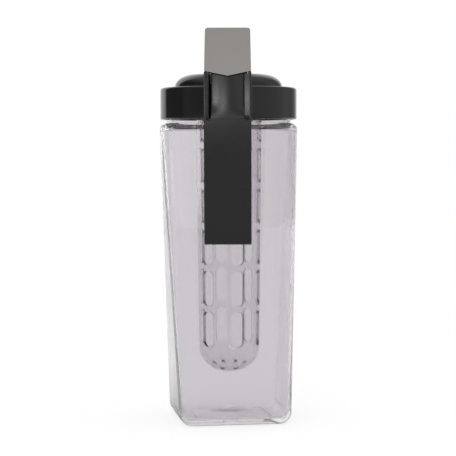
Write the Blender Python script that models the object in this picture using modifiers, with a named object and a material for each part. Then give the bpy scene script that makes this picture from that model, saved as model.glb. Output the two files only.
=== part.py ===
"""Plastic jug with a screw lid, a hanging fruit infuser, a flip cover and a thumb lever.

Run it with: blender --background --python part.py
Metres, +Z up. The jug's own axis is vertical and the handle points to -Y.
"""

import math

import bmesh
import bpy
from mathutils import Matrix, Vector

# Shared fits
CLEARANCE = 0.0003
OVERRUN = 0.0020
MERGE = 0.00001
ROUND_STEPS = 48
SMALL_STEPS = 14
ARC_STEPS = 5
EDGE_ANGLE = math.radians(50)

# Jug body: round at the shoulder, a rounded square at the base, turned a little against the handle
BODY_TOP_RADIUS = 0.0504
BODY_TOP_HEIGHT = 0.2131
SHOULDER_RISE = 0.0046
SHOULDER_WIDTH = 0.0048
NECK_RISE = 0.0216
NECK_WALL = 0.0026
RIM_ROUND = 0.0008
BASE_WIDTH = 0.0808
BASE_CORNER = 0.0085
BASE_TURN = math.radians(9)
BASE_EDGE = 0.0065
BODY_WALL = 0.0026
FLOOR_THICKNESS = 0.0045
INNER_EDGE = 0.0052
FOOT_WIDTH = 0.0040
FOOT_RISE = 0.0012
WALL_LEVELS = 2
FLAT_STEPS = 7
CORNER_STEPS = 5
CORNER_FLOOR_SHARE = 0.5

# Lid: a screw cap with a collar round its pouring hole and a beak opposite the handle
THREAD_ROOM = 0.0020
LID_DEPTH = 0.0233
LID_ROOF = 0.0022
LID_SKIRT = 0.0024
LID_EDGE = 0.0030
LID_HEM = 0.0007
POUR_MARGIN = 0.0200
COLLAR_WALL = 0.0020
COLLAR_RISE = 0.0046
SEAL_THICKNESS = 0.0014
SEAL_OVERHANG = 0.0004

# Beak
BEAK_OVERHANG = 0.0070
BEAK_ROOT_WIDTH = 0.0220
BEAK_TIP_WIDTH = 0.0130
BEAK_DEPTH = 0.0070
BEAK_WALL = 0.0016
BEAK_SLOPE = math.radians(38)

# Strainer and infuser
STRAINER_THICKNESS = 0.0020
STRAINER_MARGIN = 0.0006
SOCKET_WALL = 0.0020
SOCKET_DEPTH = 0.0140
SLOT_COUNT = 10
SLOT_WIDTH = 0.0040
SLOT_START = 0.0080
SLOT_END = 0.0210
SLOT_TAPER_SHARE = 0.6
INFUSER_TOP_RADIUS = 0.0243
INFUSER_FOOT_RADIUS = 0.0219
INFUSER_WALL = 0.0018
INFUSER_RIM_GROWTH = 0.0010
INFUSER_FLANGE_GROWTH = 0.0034
INFUSER_FLANGE_THICKNESS = 0.0014
INFUSER_TIP_HEIGHT = 0.0350
INFUSER_ROUND_RISE = 0.0175
INFUSER_STEPS = 24
GASKET_THICKNESS = 0.0008
WINDOW_COLUMNS = 6
WINDOW_FIRST_COLUMN = math.radians(-90 + 16.5)
WINDOW_WIDTH = 0.0097
WINDOW_HEIGHT = 0.0252
WINDOW_PITCH = 0.0298
WINDOW_LOWEST = 0.0550
WINDOW_CHAMFER = 0.0022
WINDOW_TOP_MARGIN = 0.0025
DRAIN_COUNT = 8
DRAIN_RADIUS = 0.0013
DRAIN_CIRCLE = 0.0125

# Flip cover
COVER_MARGIN = 0.0100
COVER_RISE = 0.0104
COVER_ROUND = 0.0140
COVER_WALL = 0.0019
COVER_RIB_WALL = 0.0014
COVER_SEAL_HEIGHT = 0.0020
COVER_SEAL_WIDTH = 0.0022
ARCH_DEPTH = 0.0060
TONGUE_MARGIN = 0.0002
TONGUE_THICKNESS = 0.0022
TONGUE_SETBACK = 0.0025
TONGUE_ROOT_DEPTH = 0.0047

# Cover hinge
COVER_HINGE_STANDOFF = 0.0045
COVER_HINGE_RISE = 0.0075
COVER_PIN_RADIUS = 0.0012
EAR_RADIUS = 0.0036
EAR_THICKNESS = 0.0028
EAR_INNER = 0.0092
KNUCKLE_RADIUS = 0.0033
TAIL_LENGTH = 0.0079
TAIL_THICKNESS = 0.0018
TAIL_LIFT = 0.0005
TAIL_WIDTH = 0.0070

# Handle: one long bow that the strap, the lever and its pad all follow
HANDLE_STANDOFF = 0.0365
BOW_RADIUS = 0.2600
BOW_DROP = 0.0435
GRIP_WIDTH = 0.0326
GRIP_THICKNESS = 0.0090
GRIP_FOOT_DROP = 0.1107
GRIP_EDGE = 0.0011
GRIP_FOOT_ROUND = 0.0022
GRIP_WALL = 0.0024
GRIP_PALM_ROUND = 0.0100
GRIP_INNER_THICKNESS = 0.0024
GRIP_POCKET_FOOT = 0.0042
GRIP_POCKET_HEAD_DROP = 0.0035
BOW_STEPS = 14
BRIDGE_DROP = 0.0220
BRIDGE_THICKNESS = 0.0045
CHEEK_RISE = 0.0052
CHEEK_THICKNESS = 0.0024
CHEEK_SETBACK = 0.0060
CHEEK_ROUND = 0.0060
CHEEK_NOSE = 0.0018
CHEEK_LOW_DROP = 0.0025
CHEEK_TURN = math.radians(15)
CHANNEL_DROP = 0.0239
CHANNEL_DEPTH = 0.0056

# Bracket on the lid and the screws that hold the handle to it
BRACKET_WIDTH = 0.0180
BRACKET_LENGTH = 0.0160
BRACKET_THICKNESS = 0.0050
SCREW_RADIUS = 0.0011
SCREW_HEAD_RADIUS = 0.0025
SCREW_HEAD_HEIGHT = 0.0014
SCREW_SINK = 0.0006
SCREW_SPACING = 0.0100
SCREW_STANDOFF = 0.0080
GRIP_SCREW_RADIUS = 0.0009
GRIP_SCREW_HEAD_RADIUS = 0.0021
GRIP_SCREW_HEAD_HEIGHT = 0.0010
GRIP_SCREW_LENGTH = 0.0050
GRIP_SCREW_MARGIN = 0.0130
GRIP_BOSS_RADIUS = 0.0027

# Thumb lever, its pad and its pin
LEVER_PIN_SETBACK = 0.0165
LEVER_PIN_DROP = 0.0005
LEVER_PIN_RADIUS = 0.0015
GROOVE_WIDTH = 0.0025
LEVER_THICKNESS = 0.0045
LEVER_HUB_RADIUS = 0.0042
LEVER_STEM_RADIUS = 0.0021
LEVER_NOSE_RADIUS = 0.0015
LEVER_NOSE_OVERHANG = 0.0001
LEVER_ARM_WIDTH = 0.0062
LEVER_ARM_ROOT_SHARE = 0.8
LEVER_STEPS = 8
PADDLE_SETBACK = 0.0018
PADDLE_THICKNESS = 0.0036
PADDLE_MARGIN = 0.0024
PADDLE_FOOT_RISE = 0.0070
PAD_SIDE_INSET = 0.0002
PAD_RISE = 0.0385
PAD_SIDE_FOOT_RISE = 0.0086
PAD_POINT_DROP = 0.0034
PAD_PROUD = 0.0008
PAD_DEPTH = 0.0062
PAD_CORNER = 0.0022
PAD_EDGE = 0.0006
PAD_GAP = 0.0009

# Springs
LEVER_SPRING_RADIUS = 0.0030
COVER_SPRING_RADIUS = 0.0024
SPRING_WIRE_RADIUS = 0.00045
LEVER_SPRING_TURNS = 4
COVER_SPRING_TURNS = 3
SPRING_PITCH = 0.0015
SPRING_POINTS = 10
SPRING_STUB = 0.0005

# Places that follow from the sizes above, about the jug's axis
NECK_RADIUS = BODY_TOP_RADIUS - SHOULDER_WIDTH
NECK_INNER_RADIUS = NECK_RADIUS - NECK_WALL
LID_RADIUS = NECK_RADIUS + THREAD_ROOM + LID_SKIRT
POUR_RADIUS = LID_RADIUS - POUR_MARGIN
COVER_RADIUS = LID_RADIUS - COVER_MARGIN
BEAK_REACH = LID_RADIUS + BEAK_OVERHANG
TONGUE_REACH = BEAK_REACH - TONGUE_SETBACK
TONGUE_WIDTH = BEAK_ROOT_WIDTH - 2 * TONGUE_MARGIN
COVER_HINGE_REACH = COVER_RADIUS + COVER_HINGE_STANDOFF
BRACKET_REACH = LID_RADIUS + BRACKET_LENGTH
SCREW_REACH = LID_RADIUS + SCREW_STANDOFF
HANDLE_REACH = LID_RADIUS + HANDLE_STANDOFF
LEVER_PIN_REACH = HANDLE_REACH - LEVER_PIN_SETBACK
CHEEK_REACH = LEVER_PIN_REACH - CHEEK_SETBACK
SOCKET_INNER_RADIUS = INFUSER_TOP_RADIUS + INFUSER_RIM_GROWTH + CLEARANCE
FLANGE_RADIUS = INFUSER_TOP_RADIUS + INFUSER_FLANGE_GROWTH
LEVER_WIDTH = GRIP_WIDTH - 2 * (CHEEK_THICKNESS + GROOVE_WIDTH)
PAD_WIDTH = GRIP_WIDTH - 2 * PAD_SIDE_INSET
AXIS_OFFSET = (HANDLE_REACH - BEAK_REACH) / 2

# Heights that follow, from the body's shoulder up to the lid and from the lid to the handle
RIM_HEIGHT = BODY_TOP_HEIGHT + SHOULDER_RISE + NECK_RISE
SEAL_HEIGHT = RIM_HEIGHT + CLEARANCE
ROOF_HEIGHT = SEAL_HEIGHT + SEAL_THICKNESS + CLEARANCE
LID_TOP = ROOF_HEIGHT + LID_ROOF
LID_FOOT = LID_TOP - LID_DEPTH
COLLAR_TOP = LID_TOP + COLLAR_RISE
COVER_FOOT = LID_TOP + CLEARANCE
STRAINER_TOP = ROOF_HEIGHT - CLEARANCE
STRAINER_FOOT = STRAINER_TOP - STRAINER_THICKNESS
SOCKET_FOOT = STRAINER_FOOT - SOCKET_DEPTH
GASKET_TOP = SOCKET_FOOT - CLEARANCE
FLANGE_TOP = GASKET_TOP - GASKET_THICKNESS - CLEARANCE
FLANGE_FOOT = FLANGE_TOP - INFUSER_FLANGE_THICKNESS
BOW_HEIGHT = LID_TOP - BOW_DROP
GRIP_FOOT_HEIGHT = LID_TOP - GRIP_FOOT_DROP
BRIDGE_HEIGHT = LID_TOP - BRIDGE_DROP
BRIDGE_TOP = BRIDGE_HEIGHT + BRIDGE_THICKNESS
CHEEK_TOP = LID_TOP + CHEEK_RISE
CHANNEL_FOOT = LID_TOP - CHANNEL_DROP
POCKET_FOOT = GRIP_FOOT_HEIGHT + GRIP_POCKET_FOOT
POCKET_HEAD = BRIDGE_HEIGHT - GRIP_PALM_ROUND - GRIP_POCKET_HEAD_DROP
GRIP_SCREW_HEIGHTS = (POCKET_FOOT + GRIP_SCREW_MARGIN, POCKET_HEAD - GRIP_SCREW_MARGIN)
LEVER_PIN_HEIGHT = LID_TOP - LEVER_PIN_DROP
PADDLE_FOOT = LID_TOP + PADDLE_FOOT_RISE
PAD_TOP = LID_TOP + PAD_RISE
PAD_SIDE_FOOT = LID_TOP + PAD_SIDE_FOOT_RISE

# The two hinges in side view, and the springs that fill the room beside the hub and the knuckle
COVER_HINGE = (-COVER_HINGE_REACH, LID_TOP + COVER_HINGE_RISE)
LEVER_PIN = (-LEVER_PIN_REACH, LEVER_PIN_HEIGHT)
LEVER_SPRING_START = GRIP_WIDTH / 2 - CHEEK_THICKNESS - CLEARANCE - SPRING_WIRE_RADIUS
LEVER_SPRING_LENGTH = LEVER_SPRING_TURNS * SPRING_PITCH + SPRING_STUB
LEVER_SPRING_LEG = LEVER_PIN_HEIGHT - BRIDGE_TOP - CLEARANCE
LEVER_HUB_END = LEVER_SPRING_START - LEVER_SPRING_LENGTH - CLEARANCE
COVER_SPRING_START = EAR_INNER - CLEARANCE - SPRING_WIRE_RADIUS
COVER_SPRING_LENGTH = COVER_SPRING_TURNS * SPRING_PITCH + SPRING_STUB
COVER_SPRING_LEG = COVER_HINGE_RISE - CLEARANCE
KNUCKLE_END = COVER_SPRING_START - COVER_SPRING_LENGTH - CLEARANCE

# Which way a flat outline lies before it is given its thickness
PLAN = Matrix.Identity(4)
SIDE = Matrix(((0, 0, 1), (1, 0, 0), (0, 1, 0))).to_4x4()
FRONT = Matrix(((1, 0, 0), (0, 0, -1), (0, 1, 0))).to_4x4()


def clear_scene():
    for item in list(bpy.data.objects):
        bpy.data.objects.remove(item, do_unlink=True)


def new_collection(name):
    collection = bpy.data.collections.new(name)
    bpy.context.scene.collection.children.link(collection)
    return collection


def new_empty(name, location, parent=None):
    empty = bpy.data.objects.new(name, None)
    empty.location = location
    empty.parent = parent
    PARTS.objects.link(empty)
    return empty


def new_finish(name, colour, roughness, metallic=0.0, alpha=1.0):
    material = bpy.data.materials.new(name)
    material.use_nodes = True
    shader = material.node_tree.nodes["Principled BSDF"]
    shader.inputs["Base Color"].default_value = (*colour, 1.0)
    shader.inputs["Roughness"].default_value = roughness
    shader.inputs["Metallic"].default_value = metallic
    shader.inputs["Alpha"].default_value = alpha
    return material


clear_scene()
PARTS = new_collection("infuser_jug")
CUTTERS = new_collection("jug_cutters")
JUG_AXIS = new_empty("jug_axis", (0, AXIS_OFFSET, 0))
COVER_AXIS = new_empty("cover_axis", (0, *COVER_HINGE), JUG_AXIS)
LEVER_AXIS = new_empty("lever_axis", (0, *LEVER_PIN), JUG_AXIS)

CLEAR = new_finish("clear_plastic", (0.70, 0.68, 0.72), 0.05, alpha=0.35)
BLACK = new_finish("black_plastic", (0.020, 0.020, 0.022), 0.35)
GREY = new_finish("grey_plastic", (0.27, 0.26, 0.25), 0.45)
SILICONE = new_finish("silicone", (0.55, 0.55, 0.56), 0.6)
STEEL = new_finish("steel", (0.60, 0.60, 0.62), 0.3, metallic=1.0)


def add_piece(name, mesh, finish, axis=None):
    """Link a finished piece and hang it from the empty on the axis it turns about."""
    piece = bpy.data.objects.new(name, mesh)
    if not mesh.materials:
        mesh.materials.append(finish)
    piece.parent = axis or JUG_AXIS
    if axis:
        piece.location = -axis.location
    PARTS.objects.link(piece)
    return piece


def add_cutter(name, mesh):
    """Link a helper shape that only cuts or joins a piece."""
    cutter = bpy.data.objects.new(name, mesh)
    cutter.parent = JUG_AXIS
    cutter.hide_render = True
    cutter.display_type = "WIRE"
    CUTTERS.objects.link(cutter)
    return cutter


def cut(piece, mesh, label):
    combine(piece, mesh, label, "DIFFERENCE")


def join(piece, mesh, label):
    combine(piece, mesh, label, "UNION")


def combine(piece, mesh, label, operation):
    helper = add_cutter(f"{piece.name}_{label}", mesh)
    modifier = piece.modifiers.new(label, "BOOLEAN")
    modifier.operation = operation
    modifier.solver = "EXACT"
    modifier.object = helper


def round_edges(piece, width, segments=2):
    bevel = piece.modifiers.new("Edges", "BEVEL")
    bevel.width = width
    bevel.segments = segments
    bevel.limit_method = "ANGLE"
    bevel.angle_limit = EDGE_ANGLE


def profile_mesh(name, profile):
    """A chain of (radius, height) points in the XZ plane, closed unless it starts on the axis."""
    bm = bmesh.new()
    points = [bm.verts.new((radius, 0, height)) for radius, height in profile]
    for first, second in zip(points, points[1:]):
        bm.edges.new((first, second))
    if profile[0][0] > 0:
        bm.edges.new((points[-1], points[0]))
    mesh = bpy.data.meshes.new(name)
    bm.to_mesh(mesh)
    bm.free()
    return mesh


def add_turned(name, profile, finish, axis=None, steps=ROUND_STEPS):
    """Revolve a profile that runs down its outer side."""
    piece = add_piece(name, profile_mesh(name, profile), finish, axis)
    screw = piece.modifiers.new("Turn", "SCREW")
    screw.axis = "Z"
    screw.angle = math.tau
    screw.steps = steps
    screw.render_steps = steps
    screw.use_merge_vertices = True
    screw.merge_threshold = MERGE
    return piece


def baked_mesh(curve_object, matrix):
    """The curve's welded mesh, with its faces pointing out."""
    CUTTERS.objects.link(curve_object)
    bpy.context.view_layer.update()
    graph = bpy.context.evaluated_depsgraph_get()
    mesh = bpy.data.meshes.new_from_object(curve_object.evaluated_get(graph))
    bpy.data.objects.remove(curve_object, do_unlink=True)
    mesh.transform(matrix)
    bm = bmesh.new()
    bm.from_mesh(mesh)
    bmesh.ops.remove_doubles(bm, verts=bm.verts, dist=MERGE)
    bmesh.ops.recalc_face_normals(bm, faces=bm.faces)
    bm.to_mesh(mesh)
    bm.free()
    return mesh


def slab(name, outline, plane, low, high):
    """A flat outline given thickness from low to high, square to its plane."""
    curve = bpy.data.curves.new(name, "CURVE")
    curve.dimensions = "2D"
    curve.fill_mode = "BOTH"
    curve.extrude = (high - low) / 2
    spline = curve.splines.new("POLY")
    spline.points.add(len(outline) - 1)
    for point, (across, up) in zip(spline.points, outline):
        point.co = (across, up, 0, 1)
    spline.use_cyclic_u = True
    lift = Matrix.Translation((0, 0, (high + low) / 2))
    return baked_mesh(bpy.data.objects.new(name, curve), plane @ lift)


def rod(name, radius, plane, centre, low, high, steps=SMALL_STEPS):
    """A cylinder square to a plane."""
    return slab(name, arc(centre, radius, 0, math.tau, steps)[:-1], plane, low, high)


def box_outline(low, high):
    return [(low[0], low[1]), (high[0], low[1]), (high[0], high[1]), (low[0], high[1])]


def arc(centre, radius, start, end, steps=ARC_STEPS, rise=None):
    """Points along a round or, with its own rise, an elliptical arc."""
    rise = radius if rise is None else rise
    turns = [start + (end - start) * step / steps for step in range(steps + 1)]
    return [(centre[0] + radius * math.cos(turn), centre[1] + rise * math.sin(turn)) for turn in turns]


def tapered_link(first, first_radius, second, second_radius, steps=ARC_STEPS):
    """The outline round two circles and the straight sides that touch both."""
    across = second[0] - first[0]
    up = second[1] - first[1]
    heading = math.atan2(up, across)
    spread = math.acos((first_radius - second_radius) / math.hypot(across, up))
    near = arc(first, first_radius, heading + spread, heading + math.tau - spread, steps)
    far = arc(second, second_radius, heading - spread, heading + spread, steps)
    return near + far


def merged(name, meshes):
    """One mesh that holds several separate shapes."""
    bm = bmesh.new()
    for mesh in meshes:
        bm.from_mesh(mesh)
        bpy.data.meshes.remove(mesh)
    whole = bpy.data.meshes.new(name)
    bm.to_mesh(whole)
    bm.free()
    return whole


def merged_copies(name, mesh, matrices):
    """One mesh that holds the same shape at several places."""
    copies = []
    for matrix in matrices:
        copy = mesh.copy()
        copy.transform(matrix)
        copies.append(copy)
    return merged(name, copies)


def square_reach(direction, half, corner):
    """Distance from the axis to a rounded square's edge, in a direction from its own axes."""
    fold = abs((direction + math.pi / 4) % (math.pi / 2) - math.pi / 4)
    core = half - corner
    if half * math.tan(fold) <= core:
        return half / math.cos(fold)
    toward_core = core * (math.cos(fold) + math.sin(fold))
    return toward_core + math.sqrt(corner ** 2 - core ** 2 * (1 - math.sin(2 * fold)))


def ring_directions():
    """Directions of one level's points, closer together round the corners."""
    flat_end = math.atan((BASE_WIDTH / 2 - BASE_CORNER) / (BASE_WIDTH / 2))
    corner_end = math.pi / 2 - flat_end
    directions = []
    for quarter in range(4):
        middle = quarter * math.pi / 2
        for step in range(FLAT_STEPS):
            directions.append(middle - flat_end + 2 * flat_end * step / FLAT_STEPS)
        for step in range(CORNER_STEPS):
            directions.append(middle + flat_end + (corner_end - flat_end) * step / CORNER_STEPS)
    return directions


def body_ring(height, inset, directions):
    """One level of the wall, drawn in by inset: round at the shoulder, square at the base."""
    squareness = max(0.0, 1 - height / BODY_TOP_HEIGHT)
    round_reach = BODY_TOP_RADIUS - inset
    corner = max(BASE_CORNER - inset, BASE_CORNER * CORNER_FLOOR_SHARE)
    ring = []
    for direction in directions:
        square = square_reach(direction, BASE_WIDTH / 2 - inset, corner)
        reach = round_reach + (square - round_reach) * squareness
        turn = direction + BASE_TURN
        ring.append((reach * math.cos(turn), reach * math.sin(turn), height))
    return ring


def body_levels():
    """Heights and insets from the underside, up the outside, over the rim and down to the floor."""
    quarter = math.pi / 2
    half = math.pi
    neck_inset = BODY_TOP_RADIUS - NECK_RADIUS
    bore_inset = neck_inset + NECK_WALL
    levels = [(FOOT_RISE, BASE_EDGE + FOOT_WIDTH + FOOT_RISE), (0, BASE_EDGE + FOOT_WIDTH)]
    levels += [(up, inset) for inset, up in
               arc((BASE_EDGE, BASE_EDGE), BASE_EDGE, -quarter, -half)]
    for step in range(1, WALL_LEVELS):
        levels.append((BASE_EDGE + (BODY_TOP_HEIGHT - BASE_EDGE) * step / WALL_LEVELS, 0))
    levels += [(up, inset) for inset, up in
               arc((neck_inset, BODY_TOP_HEIGHT), neck_inset, half, quarter, rise=SHOULDER_RISE)]
    levels.append((RIM_HEIGHT - RIM_ROUND, neck_inset))
    levels.append((RIM_HEIGHT, neck_inset + RIM_ROUND))
    levels.append((RIM_HEIGHT, bore_inset - RIM_ROUND))
    levels.append((RIM_HEIGHT - RIM_ROUND, bore_inset))
    levels += [(up, inset) for inset, up in
               arc((bore_inset, BODY_TOP_HEIGHT), bore_inset - BODY_WALL, quarter, half,
                   rise=SHOULDER_RISE)]
    inner_low = FLOOR_THICKNESS + INNER_EDGE
    for step in range(1, WALL_LEVELS):
        levels.append((BODY_TOP_HEIGHT + (inner_low - BODY_TOP_HEIGHT) * step / WALL_LEVELS, BODY_WALL))
    levels += [(up, inset) for inset, up in
               arc((BODY_WALL + INNER_EDGE, inner_low), INNER_EDGE, half, half + quarter)]
    return levels


def add_jug_body():
    directions = ring_directions()
    bm = bmesh.new()
    rings = []
    for height, inset in body_levels():
        rings.append([bm.verts.new(point) for point in body_ring(height, inset, directions)])
    for lower, upper in zip(rings, rings[1:]):
        for index in range(len(directions)):
            following = (index + 1) % len(directions)
            bm.faces.new((lower[index], lower[following], upper[following], upper[index]))
    bm.faces.new(reversed(rings[0]))
    bm.faces.new(rings[-1])
    mesh = bpy.data.meshes.new("jug_body")
    bm.to_mesh(mesh)
    bm.free()
    mesh.shade_smooth()
    mesh.set_sharp_from_angle(angle=EDGE_ANGLE)
    add_piece("jug_body", mesh, CLEAR)


def ring_profile(inner, outer, low, high):
    """The section of a flat ring, running down its outer side."""
    return [(outer, high), (outer, low), (inner, low), (inner, high)]


def add_seals():
    outer = NECK_RADIUS + SEAL_OVERHANG
    add_turned("lid_seal", ring_profile(NECK_INNER_RADIUS, outer, SEAL_HEIGHT, SEAL_HEIGHT + SEAL_THICKNESS),
               SILICONE)
    add_turned("infuser_gasket", ring_profile(SOCKET_INNER_RADIUS + CLEARANCE, FLANGE_RADIUS,
                                              GASKET_TOP - GASKET_THICKNESS, GASKET_TOP), SILICONE)
    middle = POUR_RADIUS + COLLAR_WALL / 2
    foot = COLLAR_TOP + CLEARANCE
    add_turned("cover_seal", ring_profile(middle - COVER_SEAL_WIDTH / 2, middle + COVER_SEAL_WIDTH / 2,
                                          foot, foot + COVER_SEAL_HEIGHT), SILICONE, COVER_AXIS)


def lid_profile():
    inner = LID_RADIUS - LID_SKIRT
    collar = POUR_RADIUS + COLLAR_WALL
    edge = arc((LID_RADIUS - LID_EDGE, LID_TOP - LID_EDGE), LID_EDGE, math.pi / 2, 0)
    return [(POUR_RADIUS, COLLAR_TOP), (collar, COLLAR_TOP), (collar, LID_TOP), *edge,
            (LID_RADIUS, LID_FOOT + LID_HEM), (LID_RADIUS - LID_HEM, LID_FOOT), (inner, LID_FOOT),
            (inner, ROOF_HEIGHT), (POUR_RADIUS, ROOF_HEIGHT)]


def beak_half(reach, inset):
    """Half the beak's width at a distance from the axis, narrowing evenly to its tip."""
    share = (reach - POUR_RADIUS) / (BEAK_REACH - POUR_RADIUS)
    return (BEAK_ROOT_WIDTH + (BEAK_TIP_WIDTH - BEAK_ROOT_WIDTH) * share) / 2 - inset


def beak_outline(start_radius, inset, reach):
    """Plan of the beak from a circle about the jug's axis out to a reach, drawn in by inset."""
    tip = beak_half(reach, inset)
    spread = math.asin(beak_half(start_radius, inset) / start_radius)
    return [*arc((0, 0), start_radius, math.pi / 2 + spread, math.pi / 2 - spread), (tip, reach), (-tip, reach)]


def hinge_ear(low, high):
    """One ear that carries the cover's pin, rooted in the lid's roof."""
    root = (LID_TOP + ROOF_HEIGHT) / 2
    foot_low = -COVER_HINGE_REACH - EAR_RADIUS
    foot_high = -COVER_HINGE_REACH + EAR_RADIUS
    outline = [(foot_high, root), *arc(COVER_HINGE, EAR_RADIUS, 0, math.pi), (foot_low, root)]
    return slab("ear", outline, SIDE, low, high)


def add_lid_shell():
    lid = add_turned("lid_shell", lid_profile(), BLACK)
    in_skirt = beak_outline(LID_RADIUS - LID_SKIRT / 2, 0, BEAK_REACH)
    join(lid, slab("beak", in_skirt, PLAN, LID_TOP - BEAK_DEPTH, COLLAR_TOP), "beak")
    in_collar = beak_outline(POUR_RADIUS + COLLAR_WALL / 2, 0, LID_RADIUS)
    join(lid, slab("walls", in_collar, PLAN, LID_TOP - LID_ROOF / 2, COLLAR_TOP), "walls")
    channel = beak_outline(POUR_RADIUS - OVERRUN, BEAK_WALL, BEAK_REACH + OVERRUN)
    cut(lid, slab("channel", channel, PLAN, LID_TOP, COLLAR_TOP + OVERRUN), "channel")
    cut(lid, beak_undercut(), "undercut")
    for side, label in ((-1, "ear_left"), (1, "ear_right")):
        ends = sorted((side * EAR_INNER, side * (EAR_INNER + EAR_THICKNESS)))
        join(lid, hinge_ear(*ends), label)
    bracket_low = BRIDGE_TOP + CLEARANCE
    outline = box_outline((-BRACKET_WIDTH / 2, -BRACKET_REACH),
                          (BRACKET_WIDTH / 2, -LID_RADIUS + LID_SKIRT / 2))
    join(lid, slab("bracket", outline, PLAN, bracket_low, bracket_low + BRACKET_THICKNESS), "bracket")
    cut(lid, screw_holes(SCREW_RADIUS + CLEARANCE, bracket_low - OVERRUN,
                         bracket_low + BRACKET_THICKNESS + OVERRUN), "screw_holes")
    reach = EAR_INNER + EAR_THICKNESS + OVERRUN
    cut(lid, rod("pin_hole", COVER_PIN_RADIUS + CLEARANCE, SIDE, COVER_HINGE, -reach, reach), "pin_hole")


def beak_undercut():
    """A slanted block that slopes the beak's underside up to its tip."""
    root = LID_RADIUS
    run = BEAK_REACH - root + OVERRUN
    low = LID_TOP - BEAK_DEPTH
    rise = run * math.tan(BEAK_SLOPE)
    outline = [(root, low), (root + run, low + rise), (root + run, low - OVERRUN), (root, low - OVERRUN)]
    return slab("undercut", outline, SIDE, -BEAK_ROOT_WIDTH, BEAK_ROOT_WIDTH)


def screw_places():
    return [(side * SCREW_SPACING / 2, -SCREW_REACH) for side in (-1, 1)]


def screw_holes(radius, low, high):
    hole = rod("hole", radius, PLAN, (0, 0), low, high)
    return merged_copies("holes", hole, [Matrix.Translation((*place, 0)) for place in screw_places()])


def add_strainer():
    socket_outer = SOCKET_INNER_RADIUS + SOCKET_WALL
    edge = NECK_INNER_RADIUS - STRAINER_MARGIN
    profile = [(0, STRAINER_TOP), (edge, STRAINER_TOP), (edge, STRAINER_FOOT), (socket_outer, STRAINER_FOOT),
               (socket_outer, SOCKET_FOOT), (SOCKET_INNER_RADIUS, SOCKET_FOOT),
               (SOCKET_INNER_RADIUS, STRAINER_FOOT), (0, STRAINER_FOOT)]
    strainer = add_turned("strainer", profile, BLACK)
    half = SLOT_WIDTH / 2
    outline = tapered_link((SLOT_START + half * SLOT_TAPER_SHARE, 0), half * SLOT_TAPER_SHARE,
                           (SLOT_END - half, 0), half)
    slot = slab("slot", outline, PLAN, STRAINER_FOOT - OVERRUN, STRAINER_TOP + OVERRUN)
    turns = [Matrix.Rotation(math.tau * index / SLOT_COUNT, 4, "Z") for index in range(SLOT_COUNT)]
    cut(strainer, merged_copies("slots", slot, turns), "slots")


def infuser_radius(height):
    """The tube narrows evenly from its flange to its round end."""
    round_top = INFUSER_TIP_HEIGHT + INFUSER_ROUND_RISE
    share = (height - round_top) / (FLANGE_TOP - round_top)
    return INFUSER_FOOT_RADIUS + (INFUSER_TOP_RADIUS - INFUSER_FOOT_RADIUS) * share


def infuser_profile():
    round_top = INFUSER_TIP_HEIGHT + INFUSER_ROUND_RISE
    rim_radius = INFUSER_TOP_RADIUS + INFUSER_RIM_GROWTH
    rim_top = STRAINER_FOOT - CLEARANCE
    foot_inner = INFUSER_FOOT_RADIUS - INFUSER_WALL
    inner = arc((0, round_top), foot_inner, -math.pi / 2, 0, rise=INFUSER_ROUND_RISE - INFUSER_WALL)
    outer = arc((0, round_top), INFUSER_FOOT_RADIUS, 0, -math.pi / 2, rise=INFUSER_ROUND_RISE)
    inner[0] = (0, inner[0][1])
    outer[-1] = (0, outer[-1][1])
    bore_top = INFUSER_TOP_RADIUS - INFUSER_WALL
    return [*inner, (bore_top, rim_top), (rim_radius, rim_top), (rim_radius, FLANGE_TOP),
            (FLANGE_RADIUS, FLANGE_TOP), (FLANGE_RADIUS, FLANGE_FOOT),
            (infuser_radius(FLANGE_FOOT), FLANGE_FOOT), *outer]


def window_outline(height):
    half = WINDOW_WIDTH / 2
    chamfer = WINDOW_CHAMFER
    return [(-half + chamfer, 0), (half - chamfer, 0), (half, chamfer), (half, height - chamfer),
            (half - chamfer, height), (-half + chamfer, height), (-half, height - chamfer), (-half, chamfer)]


def window_rows():
    """Foot and height of each row of windows, with a shorter row where the tube ends."""
    top = FLANGE_FOOT - WINDOW_TOP_MARGIN
    rows = []
    foot = WINDOW_LOWEST
    while foot + 2 * WINDOW_CHAMFER < top:
        rows.append((foot, min(WINDOW_HEIGHT, top - foot)))
        foot += WINDOW_PITCH
    return rows


def window_cutter():
    """A radial prism for each window, on a grid of rows and columns."""
    low = -INFUSER_TOP_RADIUS - OVERRUN
    high = -INFUSER_FOOT_RADIUS / 2
    turns = [WINDOW_FIRST_COLUMN + math.pi / 2 + math.tau * column / WINDOW_COLUMNS
             for column in range(WINDOW_COLUMNS)]
    rows = []
    for foot, height in window_rows():
        lift = Matrix.Translation((0, 0, foot))
        prism = slab("window", window_outline(height), FRONT, -high, -low)
        rows.append(merged_copies("row", prism, [Matrix.Rotation(turn, 4, "Z") @ lift for turn in turns]))
    return merged("windows", rows)


def add_infuser_tube():
    tube = add_turned("infuser_tube", infuser_profile(), CLEAR, steps=INFUSER_STEPS)
    cut(tube, window_cutter(), "windows")
    top = INFUSER_TIP_HEIGHT + INFUSER_ROUND_RISE
    drain = rod("drain", DRAIN_RADIUS, PLAN, (DRAIN_CIRCLE, 0), INFUSER_TIP_HEIGHT, top, 8)
    turns = [Matrix.Rotation(math.tau * (index + 0.5) / DRAIN_COUNT, 4, "Z") for index in range(DRAIN_COUNT)]
    cut(tube, merged_copies("drains", drain, turns), "drains")


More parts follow.
